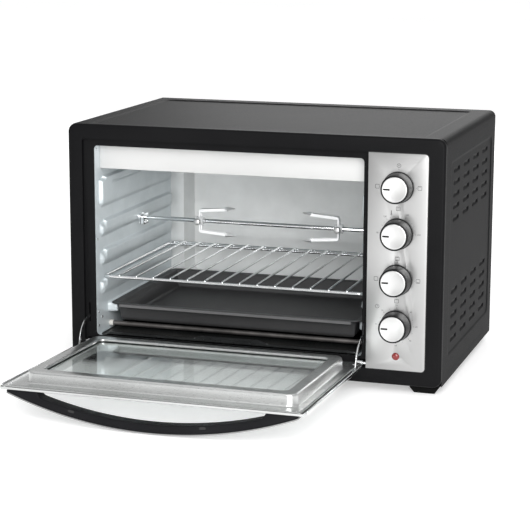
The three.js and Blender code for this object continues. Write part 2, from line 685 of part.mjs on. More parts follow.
// the outline lies in x, y; pushed along z
function pushedUp(outline, z0, z1) {
  return new THREE.ExtrudeGeometry(outline, { depth: z1 - z0, bevelEnabled: false }).translate(0, 0, z0);
}
const innerHalf = handleHalfLength - handlePad - 3;
const innerSagitta = handleSagitta * (innerHalf / handleHalfLength) ** 2;
add(door, 'handle_grip', pushedUp(polygon([
  ...bow(gripOutside, handleHalfLength, handleSagitta, 20, false),
  [handleX + handleHalfLength, handleFoot], [handleX + handleHalfLength - handlePad, handleFoot],
  ...bow(gripInside, innerHalf, innerSagitta, 16, true),
  [handleX - handleHalfLength + handlePad, handleFoot], [handleX - handleHalfLength, handleFoot],
]), handleBottom, handleBottom + handleDepth), blackFrame);
add(door, 'handle_trim', pushedUp(polygon([
  ...bow(bowOutside, handleHalfLength, handleSagitta, 20, false),
  ...bow(bowOutside + handleTrim, handleHalfLength, handleSagitta, 20, true),
]), handleBottom, handleBottom + handleDepth), brushed);

// hinge arms: flat crescents about the hinge line that swing through the frame's slots
function buildHingeArm(x, inward) {
  const [startAngle, endAngle] = [0.5, 118].map(THREE.MathUtils.degToRad);
  const outline = new THREE.Shape();
  outline.absarc(0, 0, armOuter, Math.PI / 2 - startAngle, Math.PI / 2 - endAngle, true);
  outline.absarc(0, 0, armInner, Math.PI / 2 - endAngle, Math.PI / 2 - startAngle, false);
  outline.closePath();
  const crescent = pushedAcross(outline, x - armThickness / 2, x + armThickness / 2, 14);
  const tabSpan = [x - armThickness / 2, x + inward * 11].sort((a, b) => a - b);
  const foot = outerFace + 1 + touchGap;
  const tab = block(inward > 0 ? tabSpan : [x - 11, x + armThickness / 2], [foot, foot + 0.9],
    [armInner - 5, armOuter + 5]);
  const stem = block([x - armThickness / 2, x + armThickness / 2], [foot, 1], [armInner, armOuter]);
  return carve(crescent, { join: [stem, tab] });
}
add(door, 'hinge_arm_left', buildHingeArm(armXs.left, 1), chrome);
add(door, 'hinge_arm_right', buildHingeArm(armXs.right, -1), chrome);

const pinEnds = { left: [recessLeft - pinGrip, panLeft + knuckleLength], right: [panRight - knuckleLength,
  recessRight + pinGrip] };
for (const [side, [x0, x1]] of Object.entries(pinEnds)) {
  add(cabinet, `hinge_pin_${side}`, bar([x0, hingeSetback, hingeHeight], [x1, hingeSetback, hingeHeight],
    pinRadius, 12), chrome);
}

// ---- dials: switch body behind the frame, shaft, knob and its metal cap; and the lamp
const knobBack = -touchGap - sheet - seam;
const shaftTip = 14.5;
for (const { name, z } of dials) {
  const round = name === 'timer';
  const body = round
    ? turned([[0, 0], [21, 0], [21, 26], [12, 32], [0, 32]], axisY, [dialX, frameDepth + 1, z], 20)
    : carve(block([dialX - 17, dialX + 17], [frameDepth + 1, frameDepth + 29], [z - 15, z + 15]), {
      join: [0, 1, 2, 3].map((i) => block([dialX - 13.5 + 8 * i, dialX - 10.5 + 8 * i],
        [frameDepth + 20, frameDepth + 37], [z - 0.5, z + 0.5])) });
  add(cabinet, round ? 'timer_unit' : `${name}_switch`, body, plated);
  const shaft = bar([dialX, knobBack - shaftTip, z], [dialX, frameDepth + seam, z], shaftRadius);
  add(cabinet, `shaft_${name}`, shaft, chrome);
  const bore = shaftRadius + touchGap;
  const front = knobLength;
  const capSeat = knobTip - 1.3;
  const out = axisY.clone().negate();
  add(cabinet, `knob_${name}`, turned([[0, shaftTip + touchGap], [bore, shaftTip + touchGap], [bore, 0],
    [knobBase, 0], [knobBase, 2.5], [knobTip + 0.3, front - 1.5], [knobTip - 0.5, front], [capSeat, front],
    [capSeat, front - 1.1], [0, front - 1.1]], out, [dialX, knobBack, z], 24), knobBlack);
  add(cabinet, `knob_cap_${name}`, turned([[0, front - 0.8], [capSeat - touchGap, front - 0.8],
    [capSeat - touchGap, front - 0.1], [capSeat - 1.2, front + 0.3], [0, front + 0.3]],
  out, [dialX, knobBack, z], 24), knobSilver);
}
add(cabinet, 'lamp_lens', turned([[0, -frameDepth - 3], [lampRadius, -frameDepth - 3], [lampRadius, 1.4],
  [lampRadius + 1.1, 1.4], [lampRadius + 0.9, 2.6], [2.4, 3.8], [0, 4]],
axisY.clone().negate(), [dialX, 0, lampZ], 16), redLens);

// ---- spit: rod with a square driven end, drive socket, two forks and their thumb screws
const rodStart = bearingFace + 0.5;
const squareHalf = 2.1;
const squareStart = cavityRight - 9;
const rodEnd = cavityRight + 1;
const journalEnd = bearingFace + bearingLength + 0.7;
const rod = turned([[0, rodStart], [journalRadius, rodStart], [journalRadius, journalEnd],
  [spitRadius, journalEnd + 0.6], [spitRadius, squareStart], [0, squareStart]],
axisX, [0, spitDepth, spitHeight], 16);
const squareEnd = block([squareStart - 1, rodEnd], [spitDepth - squareHalf, spitDepth + squareHalf],
  [spitHeight - squareHalf, spitHeight + squareHalf]);
add(oven, 'spit_rod', carve(rod, { join: [squareEnd] }), chrome);

const socketRadius = bearingHole - 0.8;
const squareRoom = squareHalf + touchGap;
const socket = bar([squareStart + 1, spitDepth, spitHeight], [motorFace - touchGap, spitDepth, spitHeight],
  socketRadius, 20);
add(oven, 'drive_socket', carve(socket, {
  cut: [block([squareStart, rodEnd + touchGap], [spitDepth - squareRoom, spitDepth + squareRoom],
    [spitHeight - squareRoom, spitHeight + squareRoom])] }), chrome);

const hubRadius = 6.5;
const hubLength = 11;
const screwRadius = 2;
function buildFork(hubX, towards) {
  const at = (from, to) => [hubX + towards * from, hubX + towards * to].sort((a, b) => a - b);
  const hub = bar([hubX - hubLength / 2, spitDepth, spitHeight],
    [hubX + hubLength / 2, spitDepth, spitHeight], hubRadius, 16);
  const across = [spitDepth - forkStripWidth / 2, spitDepth + forkStripWidth / 2];
  const yoke = block(at(-forkStrip / 2, forkStrip / 2), across,
    [spitHeight - forkSpread, spitHeight + forkSpread]);
  const barbStart = forkReach - forkBarb;
  const prongs = [-1, 1].map((side) => {
    const outline = polygon([[0, 0], [barbStart, 0], [barbStart, -2.2], [forkReach, forkStripWidth / 2],
      [barbStart, forkStripWidth + 2.2], [barbStart, forkStripWidth], [0, forkStripWidth]]
      .map(([x, y]) => [hubX + towards * x, y - forkStripWidth / 2 + spitDepth]));
    const lean = (geometry) => geometry
      .translate(-hubX, 0, 0)
      .rotateY(-towards * side * THREE.MathUtils.degToRad(forkSplay))
      .translate(hubX, 0, spitHeight + side * forkSpread);
    return lean(new THREE.ExtrudeGeometry(outline, { depth: forkStrip, bevelEnabled: false })
      .translate(0, 0, -forkStrip / 2));
  });
  const rodHole = bar([hubX - 40, spitDepth, spitHeight], [hubX + 40, spitDepth, spitHeight],
    spitRadius + spitClearance, 16);
  const screwHole = bar([hubX, spitDepth - 20, spitHeight], [hubX, spitDepth, spitHeight],
    screwRadius + touchGap, 12);
  return carve(hub, { join: [yoke, ...prongs], cut: [rodHole, screwHole] });
}
const forks = { left: [cavityLeft + leftForkAt, 1], right: [cavityRight - rightForkAt, -1] };
for (const [side, [hubX, towards]] of Object.entries(forks)) {
  add(oven, `fork_${side}`, buildFork(hubX, towards), chrome);
  const shank = hubRadius + 1.5;
  const tip = spitRadius + spitClearance;
  add(oven, `thumb_screw_${side}`, turned([[0, tip], [screwRadius, tip], [screwRadius, shank], [4.8, shank],
    [4.8, shank + 6], [3.9, shank + 7], [0, shank + 7]],
  axisY.clone().negate(), [hubX, spitDepth, spitHeight], 16), chrome);
}

// ---- wire rack: a border wire with bars front to back, resting on the lowest runners
function buildRack() {
  const [x0, x1] = [cavityLeft + rackSideGap, cavityRight - rackSideGap];
  const [y0, y1] = [rackFront, cavityBack - rackRearGap];
  const z = rackRest + rackWire + 0.5;
  const corners = new THREE.Path();
  const radius = 9;
  corners.moveTo(x0 + radius, y0);
  corners.lineTo(x1 - radius, y0).absarc(x1 - radius, y0 + radius, radius, -Math.PI / 2, 0);
  corners.lineTo(x1, y1 - radius).absarc(x1 - radius, y1 - radius, radius, 0, Math.PI / 2);
  corners.lineTo(x0 + radius, y1).absarc(x0 + radius, y1 - radius, radius, Math.PI / 2, Math.PI);
  corners.lineTo(x0, y0 + radius).absarc(x0 + radius, y0 + radius, radius, Math.PI, 1.5 * Math.PI);
  const centre = corners.getPoints(3);
  const section = (fraction) => {
    const turn = fraction * 2 * Math.PI;
    return [Math.cos(turn) * rackWire, Math.sin(turn) * rackWire];
  };
  const sides = 6;
  const route = centre.filter((point, i) => i === 0 || point.distanceTo(centre[i - 1]) > 0.01);
  if (route[0].distanceTo(route[route.length - 1]) < 0.01) route.pop();
  const points = [];
  const faces = [];
  route.forEach((point, i) => {
    const before = route[(i + route.length - 1) % route.length];
    const after = route[(i + 1) % route.length];
    const along = after.clone().sub(before).normalize();
    for (let k = 0; k < sides; k += 1) {
      const [out, up] = section(k / sides);
      points.push(point.x + along.y * out, point.y - along.x * out, z + up);
      const next = (i + 1) % route.length;
      const j = (k + 1) % sides;
      faces.push(i * sides + k, i * sides + j, next * sides + j);
      faces.push(i * sides + k, next * sides + j, next * sides + k);
    }
  });
  const border = new THREE.BufferGeometry();
  border.setAttribute('position', new THREE.Float32BufferAttribute(points, 3));
  border.setIndex(faces);
  const barZ = z + rackWire + rackBarWire - 1;
  const bars = [];
  const count = Math.floor((x1 - x0 - 2 * rackWire) / rackBarPitch);
  for (let i = 0; i < count; i += 1) {
    const x = (x0 + x1) / 2 + (i - (count - 1) / 2) * rackBarPitch;
    bars.push(bar([x, y0 - 1, barZ], [x, y1 + 1, barZ], rackBarWire, 5));
  }
  const rearWire = bar([x0, y1 - 12, z], [x1, y1 - 12, z], rackWire * 0.9, 6);
  return carve(border, { join: [rearWire, ...bars] });
}
add(oven, 'wire_rack', buildRack(), chrome);

// ---- baking tray: a pressed pan hanging by its rim on the tray ledges
const trayOuter = [cavityLeft + trayRimGap, cavityRight - trayRimGap, trayFront, cavityBack - trayRearGap,
  14];
add(oven, 'baking_tray', skinned([
  grown(trayOuter, -trayRim - 8, trayFloor + traySheet), grown(trayOuter, -trayRim - 4.5, trayFloor + 3),
  grown(trayOuter, -trayRim, trayTop), grown(trayOuter, -0.8, trayTop + 0.6),
  grown(trayOuter, 0, trayTop - 0.2), grown(trayOuter, -0.6, trayTop - traySheet),
  grown(trayOuter, -trayRim - 0.6 + traySheet, trayTop - traySheet),
  grown(trayOuter, -trayRim - 3.6, trayFloor + 2), grown(trayOuter, -trayRim - 7.2, trayFloor)],
{ steps: 4 }), bakedEnamel);

// ---- crumb tray: a flat tray on the cavity floor with a hemmed lip and a pull tab
function buildCrumbTray() {
  const [x0, x1] = [cavityLeft + crumbSideGap, cavityRight - crumbSideGap];
  const z0 = cavityBottom + armClearance;
  const front = ledgeDepth + 1.2;
  const plate = skinned([
    [x0 + sheet, x1 - sheet, front + sheet, cavityBack - 12, 2, z0 + sheet],
    [x0 + sheet, x1 - sheet, front + sheet, cavityBack - 12, 2, z0 + 2.4],
    [x0, x1, front, cavityBack - 11.2, 2.8, z0 + 2.4], [x0, x1, front, cavityBack - 11.2, 2.8, z0]]);
  const lipTop = z0 + crumbLip;
  const [lipLeft, lipRight] = [x0 + 8, x1];
  const tabMiddle = cavityMiddle + 6;
  const lip = pushedBack(polygon([
    [lipLeft, z0], [lipRight, z0], [lipRight, lipTop - 3], [lipRight - 8, lipTop],
    [tabMiddle + 52, lipTop], [tabMiddle + 43, lipTop + crumbTab], [tabMiddle - 43, lipTop + crumbTab],
    [tabMiddle - 52, lipTop], [lipLeft + 6, lipTop], [lipLeft, lipTop - 4]]), front, front + 1.1);
  return carve(plate, { join: [lip] });
}
add(oven, 'crumb_tray', buildCrumbTray(), plated);

// ---- stand the part on z = 0 with the middle of its plan at the origin
const extent = new THREE.Box3().setFromObject(oven, true);
const middle = extent.getCenter(new THREE.Vector3());
oven.position.set(-middle.x, -middle.y, -extent.min.z);

export default oven;
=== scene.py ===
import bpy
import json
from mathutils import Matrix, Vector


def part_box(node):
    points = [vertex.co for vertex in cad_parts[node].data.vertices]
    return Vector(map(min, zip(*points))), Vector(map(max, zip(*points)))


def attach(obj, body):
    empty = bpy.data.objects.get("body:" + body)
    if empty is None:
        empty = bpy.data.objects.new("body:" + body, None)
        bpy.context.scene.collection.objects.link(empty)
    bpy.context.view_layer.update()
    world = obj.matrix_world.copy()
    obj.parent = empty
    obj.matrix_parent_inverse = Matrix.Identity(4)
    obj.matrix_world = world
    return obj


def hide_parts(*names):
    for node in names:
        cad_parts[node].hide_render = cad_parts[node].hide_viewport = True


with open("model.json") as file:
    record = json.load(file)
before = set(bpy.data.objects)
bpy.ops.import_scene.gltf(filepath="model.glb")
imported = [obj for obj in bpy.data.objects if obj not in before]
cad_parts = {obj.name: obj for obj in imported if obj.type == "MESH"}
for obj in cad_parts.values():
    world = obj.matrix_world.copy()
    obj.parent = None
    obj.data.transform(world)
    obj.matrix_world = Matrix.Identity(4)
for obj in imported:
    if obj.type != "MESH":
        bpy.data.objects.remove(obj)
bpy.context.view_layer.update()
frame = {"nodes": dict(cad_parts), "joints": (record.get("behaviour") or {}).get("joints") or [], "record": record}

import json
import math

import bmesh
import bpy
import numpy as np
from mathutils import Matrix, Vector

# every piece is drawn in cabinet millimetres: x from the cabinet's middle, y back from the
# front frame's face, z up from the frame's bottom edge
mm = 0.001
frameLow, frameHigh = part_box("front_frame")
zero = Vector(((frameLow.x + frameHigh.x) / 2, frameLow.y, frameLow.z))


def place(point):
    return zero + Vector(point) * mm


def span(node):
    low, high = ((corner - zero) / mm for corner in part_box(node))
    return low.x, high.x, low.y, high.y, low.z, high.z


def middle(node):
    x0, x1, y0, y1, z0, z1 = span(node)
    return (x0 + x1) / 2, (y0 + y1) / 2, (z0 + z1) / 2


joints = {joint["name"]: joint for joint in frame["joints"]}
hingeY, hingeZ = ((Vector(joints["door_hinge"]["pos_m"]) - zero) / mm)[1:]
openTurn = math.radians(max(joints["door_hinge"]["range_deg"]))


# door pieces are drawn closed, (x, inwards from the hinge line, up from the hinge line), and turned open
def onDoor(x, inward, up):
    return (x, hingeY + inward * math.cos(openTurn) - up * math.sin(openTurn),
            hingeZ + inward * math.sin(openTurn) + up * math.cos(openTurn))


# the turns that take a section's own (a, b, height) to the cabinet or to the door
def lying(a, b, height):
    return (a, b, height)


def standing(a, b, height):
    return (a, height, b)


def sideways(a, b, height):
    return (height, a, b)


def doorFace(a, b, height):
    return onDoor(a, height, b)


def acrossDoor(a, b, height):
    return onDoor(height, a, b)


# camera: the view of the front, a little from the right and above
cameraLook = {"azimuth": 17.725, "elevation": 11.607, "roll": 0.18, "distance": 2561.9,
              "lens": 122, "sensor": 36, "clip": (0.05, 40), "target": (-27.35, 150, 118.45)}


def addCamera(look):
    data = bpy.data.cameras.new("camera")
    data.lens, data.sensor_width = look["lens"], look["sensor"]
    data.clip_start, data.clip_end = look["clip"]
    camera = bpy.data.objects.new("camera", data)
    bpy.context.scene.collection.objects.link(camera)
    a, e = math.radians(look["azimuth"]), math.radians(look["elevation"])
    back = Vector((math.sin(a) * math.cos(e), -math.cos(a) * math.cos(e), math.sin(e)))
    turn = (-back).to_track_quat("-Z", "Y").to_matrix().to_4x4()
    camera.matrix_world = (Matrix.Translation(place(look["target"]) + back * look["distance"] * mm)
                           @ turn @ Matrix.Rotation(math.radians(look["roll"]), 4, "Z"))
    bpy.context.scene.camera = camera


addCamera(cameraLook)
print("camera placed")


# materials: each dictionary holds what a maker would change
def newMaterial(name):
    made = bpy.data.materials.new(name)
    made.use_nodes = True
    tree = made.node_tree
    tree.nodes.clear()
    shader = tree.nodes.new("ShaderNodeBsdfPrincipled")
    output = tree.nodes.new("ShaderNodeOutputMaterial")
    tree.links.new(shader.outputs["BSDF"], output.inputs["Surface"])
    return made, tree, shader


def noiseNode(tree, grain, stretch=(1, 1, 1), detail=4, roughness=0.55):
    where = tree.nodes.new("ShaderNodeTexCoord")
    mapping = tree.nodes.new("ShaderNodeMapping")
    mapping.inputs["Scale"].default_value = stretch
    noise = tree.nodes.new("ShaderNodeTexNoise")
    noise.inputs["Scale"].default_value = grain
    noise.inputs["Detail"].default_value = detail
    noise.inputs["Roughness"].default_value = roughness
    tree.links.new(where.outputs["Object"], mapping.inputs["Vector"])
    tree.links.new(mapping.outputs["Vector"], noise.inputs["Vector"])
    return noise.outputs["Fac"]


def ranged(tree, value, low, high, fromLow=0.3, fromHigh=0.7):
    node = tree.nodes.new("ShaderNodeMapRange")
    node.inputs["From Min"].default_value = fromLow
    node.inputs["From Max"].default_value = fromHigh
    node.inputs["To Min"].default_value = low
    node.inputs["To Max"].default_value = high
    tree.links.new(value, node.inputs["Value"])
    return node.outputs["Result"]


def mixed(tree, factor, first, second, mode="MIX"):
    node = tree.nodes.new("ShaderNodeMix")
    node.data_type, node.blend_type = "RGBA", mode
    for socket, value in ((node.inputs[6], first), (node.inputs[7], second)):
        if isinstance(value, tuple):
            socket.default_value = (*value, 1)
        else:
            tree.links.new(value, socket)
    tree.links.new(factor, node.inputs[0])
    return node.outputs[2]


# colour runs between two shades with the cloud noise; roughness and bump follow the grain
def finish(name, look):
    made, tree, shader = newMaterial(name)
    cloud = noiseNode(tree, look.get("cloud", 12), detail=3)
    grain = noiseNode(tree, look["grain"], look.get("stretch", (1, 1, 1)))
    body = mixed(tree, ranged(tree, cloud, 0, 1), look["shade"], look["tint"])
    if "fleck" in look:
        flecks = ranged(tree, grain, 0, look["fleckShare"], 0.45, 0.75)
        body = mixed(tree, flecks, body, look["fleck"])
    tree.links.new(body, shader.inputs["Base Color"])
    low, high = look["roughness"]
    tree.links.new(ranged(tree, grain, low, high), shader.inputs["Roughness"])
    bump = tree.nodes.new("ShaderNodeBump")
    bump.inputs["Strength"].default_value = look.get("bump", 0.2)
    bump.inputs["Distance"].default_value = look.get("relief", 0.1) * mm
    tree.links.new(grain, bump.inputs["Height"])
    tree.links.new(bump.outputs["Normal"], shader.inputs["Normal"])
    shader.inputs["Metallic"].default_value = look.get("metallic", 0)
    shader.inputs["Specular IOR Level"].default_value = look.get("specular", 0.5)
    shader.inputs["Coat Weight"].default_value = look.get("coat", 0)
    shader.inputs["Coat Roughness"].default_value = look.get("coatRoughness", 0.1)
    return made


frameBlack = finish("frameBlack", {
    "shade": (0.004, 0.004, 0.0045), "tint": (0.006, 0.006, 0.0065), "grain": 900, "roughness": (0.42, 0.56),
    "bump": 0.12, "relief": 0.05, "specular": 0.075})
wrapBlack = finish("wrapBlack", {
    "shade": (0.0035, 0.0035, 0.004), "tint": (0.0055, 0.0055, 0.006), "grain": 1400,
    "roughness": (0.5, 0.66), "bump": 0.3, "relief": 0.08, "specular": 0.075})
gripBlack = finish("gripBlack", {
    "shade": (0.004, 0.004, 0.005), "tint": (0.007, 0.007, 0.008), "grain": 700, "roughness": (0.32, 0.5),
    "bump": 0.18, "relief": 0.06, "specular": 0.12})
brushedSteel = finish("brushedSteel", {
    "shade": (0.44, 0.44, 0.438), "tint": (0.49, 0.49, 0.488), "grain": 800, "stretch": (0.08, 2, 2),
    "roughness": (0.28, 0.38), "bump": 0.05, "relief": 0.012, "metallic": 1, "cloud": 5})
linerSteel = finish("linerSteel", {
    "shade": (0.56, 0.57, 0.565), "tint": (0.66, 0.67, 0.665), "grain": 900, "stretch": (0.12, 2, 2),
    "roughness": (0.26, 0.31), "bump": 0.05, "relief": 0.012, "metallic": 1, "cloud": 7})
# the header's own copy of the brushed steel, its colour and metal share set to damp the softbox's light on it:
# painted shade
headerShadedSteel = finish("headerShadedSteel", {
    "shade": (0.54, 0.54, 0.535), "tint": (0.6, 0.6, 0.595), "grain": 800, "stretch": (0.08, 2, 2),
    "roughness": (0.46, 0.58), "bump": 0.05, "relief": 0.012, "metallic": 0.35, "cloud": 5})
platedSteel = finish("platedSteel", {
    "shade": (0.56, 0.61, 0.63), "tint": (0.64, 0.69, 0.71), "grain": 420, "roughness": (0.3, 0.46),
    "bump": 0.08, "relief": 0.06, "metallic": 0.25, "cloud": 26})
backSteel = finish("backSteel", {
    "shade": (0.74, 0.755, 0.75), "tint": (0.84, 0.855, 0.85), "grain": 520, "stretch": (1, 1, 0.35),
    "roughness": (0.34, 0.5), "bump": 0.08, "relief": 0.06, "metallic": 0.3, "cloud": 18})
forkSteel = finish("forkSteel", {
    "shade": (0.86, 0.87, 0.88), "tint": (0.95, 0.95, 0.95), "grain": 700, "roughness": (0.34, 0.5),
    "bump": 0.06, "relief": 0.03, "metallic": 0.5, "cloud": 50})
stripSteel = finish("stripSteel", {
    "shade": (0.34, 0.34, 0.34), "tint": (0.42, 0.42, 0.42), "grain": 700, "stretch": (0.2, 2, 2),
    "roughness": (0.3, 0.42), "bump": 0.03, "relief": 0.02, "metallic": 1, "cloud": 9})
# a lighter copy of the tray's dark enamel, used on the front lip: painted sheen
panLipSheen = finish("panLipSheen", {
    "shade": (0.075, 0.075, 0.077), "tint": (0.1, 0.1, 0.102), "grain": 1500, "roughness": (0.36, 0.52),
    "bump": 0.25, "relief": 0.05, "specular": 0.6})
# the crumb plate's colour, kept far darker than plated steel: painted shade under the baking tray
crumbShadedSteel = finish("crumbShadedSteel", {
    "shade": (0.035, 0.037, 0.038), "tint": (0.06, 0.063, 0.064), "grain": 480, "roughness": (0.24, 0.4),
    "bump": 0.1, "relief": 0.05, "metallic": 0.8, "cloud": 22})
chromeWire = finish("chromeWire", {
    "shade": (0.74, 0.75, 0.76), "tint": (0.86, 0.87, 0.87), "grain": 600, "roughness": (0.1, 0.24),
    "bump": 0.05, "relief": 0.03, "metallic": 1, "cloud": 60})
knobBlack = finish("knobBlack", {
    "shade": (0.003, 0.003, 0.0035), "tint": (0.006, 0.006, 0.0065), "grain": 900, "roughness": (0.24, 0.38),
    "bump": 0.1, "relief": 0.04, "specular": 0.3})
knobSilver = finish("knobSilver", {
    "shade": (0.62, 0.62, 0.615), "tint": (0.66, 0.66, 0.655), "grain": 900, "stretch": (0.2, 2, 2),
    "roughness": (0.28, 0.34), "bump": 0.04, "relief": 0.01, "metallic": 0.9, "cloud": 50})
trayEnamel = finish("trayEnamel", {
    "shade": (0.024, 0.024, 0.025), "tint": (0.036, 0.036, 0.037), "grain": 1500, "roughness": (0.42, 0.6),
    "bump": 0.35, "relief": 0.06, "fleck": (0.07, 0.07, 0.07), "fleckShare": 0.35, "specular": 0.5})
gasketBlack = finish("gasketBlack", {
    "shade": (0.008, 0.008, 0.008), "tint": (0.016, 0.016, 0.016), "grain": 800, "roughness": (0.6, 0.85),
    "bump": 0.25, "relief": 0.08})
footRubber = finish("footRubber", {
    "shade": (0.002, 0.002, 0.002), "tint": (0.004, 0.004, 0.004), "grain": 1100, "roughness": (0.6, 0.85),
    "bump": 0.3, "relief": 0.1, "specular": 0.05})
heaterSteel = finish("heaterSteel", {
    "shade": (0.07, 0.068, 0.066), "tint": (0.16, 0.15, 0.145), "grain": 500, "roughness": (0.4, 0.65),
    "bump": 0.25, "relief": 0.06, "metallic": 0.75, "cloud": 40})
ceramicWhite = finish("ceramicWhite", {
    "shade": (0.62, 0.6, 0.56), "tint": (0.78, 0.77, 0.73), "grain": 900, "roughness": (0.3, 0.55),
    "bump": 0.2, "relief": 0.08, "cloud": 90})
inkGrey = finish("inkGrey", {
    "shade": (0.02, 0.02, 0.021), "tint": (0.035, 0.035, 0.036), "grain": 1200, "roughness": (0.5, 0.7),
    "bump": 0.1, "relief": 0.02})
lampRed = finish("lampRed", {
    "shade": (0.11, 0.005, 0.004), "tint": (0.2, 0.008, 0.007), "grain": 600, "roughness": (0.12, 0.24),
    "bump": 0.1, "relief": 0.03, "coat": 0.6, "coatRoughness": 0.05})
switchCream = finish("switchCream", {
    "shade": (0.5, 0.47, 0.4), "tint": (0.62, 0.58, 0.5), "grain": 700, "roughness": (0.4, 0.6), "bump": 0.2})


def glassFinish(name, look):
    made, tree, shader = newMaterial(name)
    smear = noiseNode(tree, look["grain"], look["stretch"])
    low, high = look["roughness"]
    tree.links.new(ranged(tree, smear, low, high), shader.inputs["Roughness"])
    cloud = noiseNode(tree, look["cloud"])
    tree.links.new(mixed(tree, ranged(tree, cloud, 0, 1), look["shade"], look["tint"]),
                   shader.inputs["Base Color"])
    shader.inputs["Transmission Weight"].default_value = 1
    shader.inputs["IOR"].default_value = look["ior"]
    return made


windowGlass = glassFinish("windowGlass", {
    "shade": (0.86, 0.93, 0.91), "tint": (0.93, 0.97, 0.96), "grain": 30, "stretch": (1, 1, 3), "cloud": 8,
    "roughness": (0.02, 0.06), "ior": 1.75})
print("finishes mixed")


# shapes: every one is a list of points and a list of faces
def roundRect(rect, steps):
    a0, a1, b0, b1, corner = rect
    radius = max(min(corner, (a1 - a0) / 2, (b1 - b0) / 2), 0.05)
    points = []
    for ca, cb, start in ((a1 - radius, b1 - radius, 0), (a0 + radius, b1 - radius, 90),
                          (a0 + radius, b0 + radius, 180), (a1 - radius, b0 + radius, 270)):
        for i in range(steps + 1):
            angle = math.radians(start + 90 * i / steps)
            points.append((ca + radius * math.cos(angle), cb + radius * math.sin(angle)))
    return points


def grow(rect, by):
    a0, a1, b0, b1, corner = rect
    return a0 - by, a1 + by, b0 - by, b1 + by, corner + by


def skin(sections, turn, loop=False, steps=8):
    points, faces = [], []
    size = 4 * (steps + 1)
    for rect, height in sections:
        points += [turn(a, b, height) for a, b in roundRect(rect, steps)]
    rings = len(sections)
    for ring in range(rings if loop else rings - 1):
        ahead = (ring + 1) % rings
        for i in range(size):
            j = (i + 1) % size
            faces.append((ring * size + i, ring * size + j, ahead * size + j, ahead * size + i))
    if not loop:
        faces.append(tuple(reversed(range(size))))
        faces.append(tuple((rings - 1) * size + i for i in range(size)))
    return points, faces


def joined(*shapes):
    points, faces = [], []
    for shapePoints, shapeFaces in shapes:
        start = len(points)
        points += shapePoints
        faces += [tuple(start + i for i in face) for face in shapeFaces]
    return points, faces


def box(x, y, z):
    points = [(a, b, c) for a in x for b in y for c in z]
    faces = [(0, 1, 3, 2), (4, 6, 7, 5), (0, 4, 5, 1), (2, 3, 7, 6), (0, 2, 6, 4), (1, 5, 7, 3)]
    return points, faces


# an outline pushed from one height to another
def slab(outline, low, high, turn):
    size = len(outline)
    points = [turn(a, b, low) for a, b in outline] + [turn(a, b, high) for a, b in outline]
    faces = [(i, (i + 1) % size, size + (i + 1) % size, size + i) for i in range(size)]
    return points, faces + [tuple(reversed(range(size))), tuple(range(size, 2 * size))]


# profile points are (radius, distance along the axis)
def turned(profile, origin, axis, sides=48):
    along = Vector(axis).normalized()
    across = along.orthogonal().normalized()
    other = along.cross(across)
    points, rings = [], []
    for radius, distance in profile:
        middlePoint = Vector(origin) + along * distance
        if radius < 1e-6:
            rings.append([len(points)] * sides)
            points.append(tuple(middlePoint))
            continue
        rings.append(list(range(len(points), len(points) + sides)))
        for i in range(sides):
            angle = 2 * math.pi * i / sides
            points.append(tuple(middlePoint + radius * (across * math.cos(angle) + other * math.sin(angle))))
    faces = []
    for ring, ahead in zip(rings, rings[1:]):
        for i in range(sides):
            j = (i + 1) % sides
            corners = [ring[i], ring[j], ahead[j], ahead[i]]
            kept = [c for k, c in enumerate(corners) if c not in corners[:k]]
            if len(kept) > 2:
                faces.append(tuple(kept))
    return points, faces


toRight, toUser, inwards = (1, 0, 0), (0, -1, 0), (0, 1, 0)


# a round tool for cutting a hole, from one distance to another along the axis
def drill(radius, start, end, origin, axis, sides):
    return turned([(0, start), (radius, start), (radius, end), (0, end)], origin, axis, sides)


# a round wire along a path, its section carried along without twisting
def wire(path, radius, sides=12, closed=False):
    spots = [Vector(p) for p in path]
    count = len(spots)
    points, faces = [], []
    normal = None
    for i, spot in enumerate(spots):
        before = spots[i - 1] if (i or closed) else spot
        after = spots[(i + 1) % count] if (i < count - 1 or closed) else spot
        along = (after - before).normalized()
        if normal is None:
            normal = along.orthogonal().normalized()
        normal = (normal - along * normal.dot(along)).normalized()
        other = along.cross(normal)
        for k in range(sides):
            angle = 2 * math.pi * k / sides
            points.append(tuple(spot + radius * (normal * math.cos(angle) + other * math.sin(angle))))
    for i in range(count if closed else count - 1):
        j = (i + 1) % count
        for k in range(sides):
            m = (k + 1) % sides
            faces.append((i * sides + k, i * sides + m, j * sides + m, j * sides + k))
    if not closed:
        faces.append(tuple(reversed(range(sides))))
        faces.append(tuple((count - 1) * sides + k for k in range(sides)))
    return points, faces


# a path with its corners rounded
def bentPath(corners, radius, steps=6):
    spots = [Vector(c) for c in corners]
    path = [spots[0]]
    for before, corner, after in zip(spots, spots[1:], spots[2:]):
        arrive, leave = (before - corner), (after - corner)
        reach = min(radius, arrive.length / 2, leave.length / 2)
        start, end = corner + arrive.normalized() * reach, corner + leave.normalized() * reach
        for i in range(steps + 1):
            t = i / steps
            path.append(start * (1 - t) ** 2 + corner * 2 * t * (1 - t) + end * t ** 2)
    return path + [spots[-1]]


def ringPath(rect, height, steps=8):
    return [(a, b, height) for a, b in roundRect(rect, steps)]


# lines of a grid, closer together near the named edges
def gridLines(low, high, step, edges=(), reach=4.0, fine=0.7):
    lines = list(np.linspace(low, high, max(2, round((high - low) / step) + 1)))
    for edge in edges:
        lines += list(np.arange(edge - reach, edge + reach + fine / 2, fine))
    kept = [low]
    for line in sorted(lines):
        if kept[-1] + 0.3 < line < high - 0.3:
            kept.append(float(line))
    return np.array(kept + [high])


def distanceTo(u, v, rect):
    u0, u1, v0, v1, corner = rect
    across = np.abs(u - (u0 + u1) / 2) - ((u1 - u0) / 2 - corner)
    upward = np.abs(v - (v0 + v1) / 2) - ((v1 - v0) / 2 - corner)
    outside = np.hypot(np.maximum(across, 0), np.maximum(upward, 0))
    return outside + np.minimum(np.maximum(across, upward), 0) - corner


# 0 outside an edge, 1 from a draft's width inside it
def stamped(distance, draft):
    t = np.clip(-distance / draft, 0, 1)
    return t * t * (3 - 2 * t)


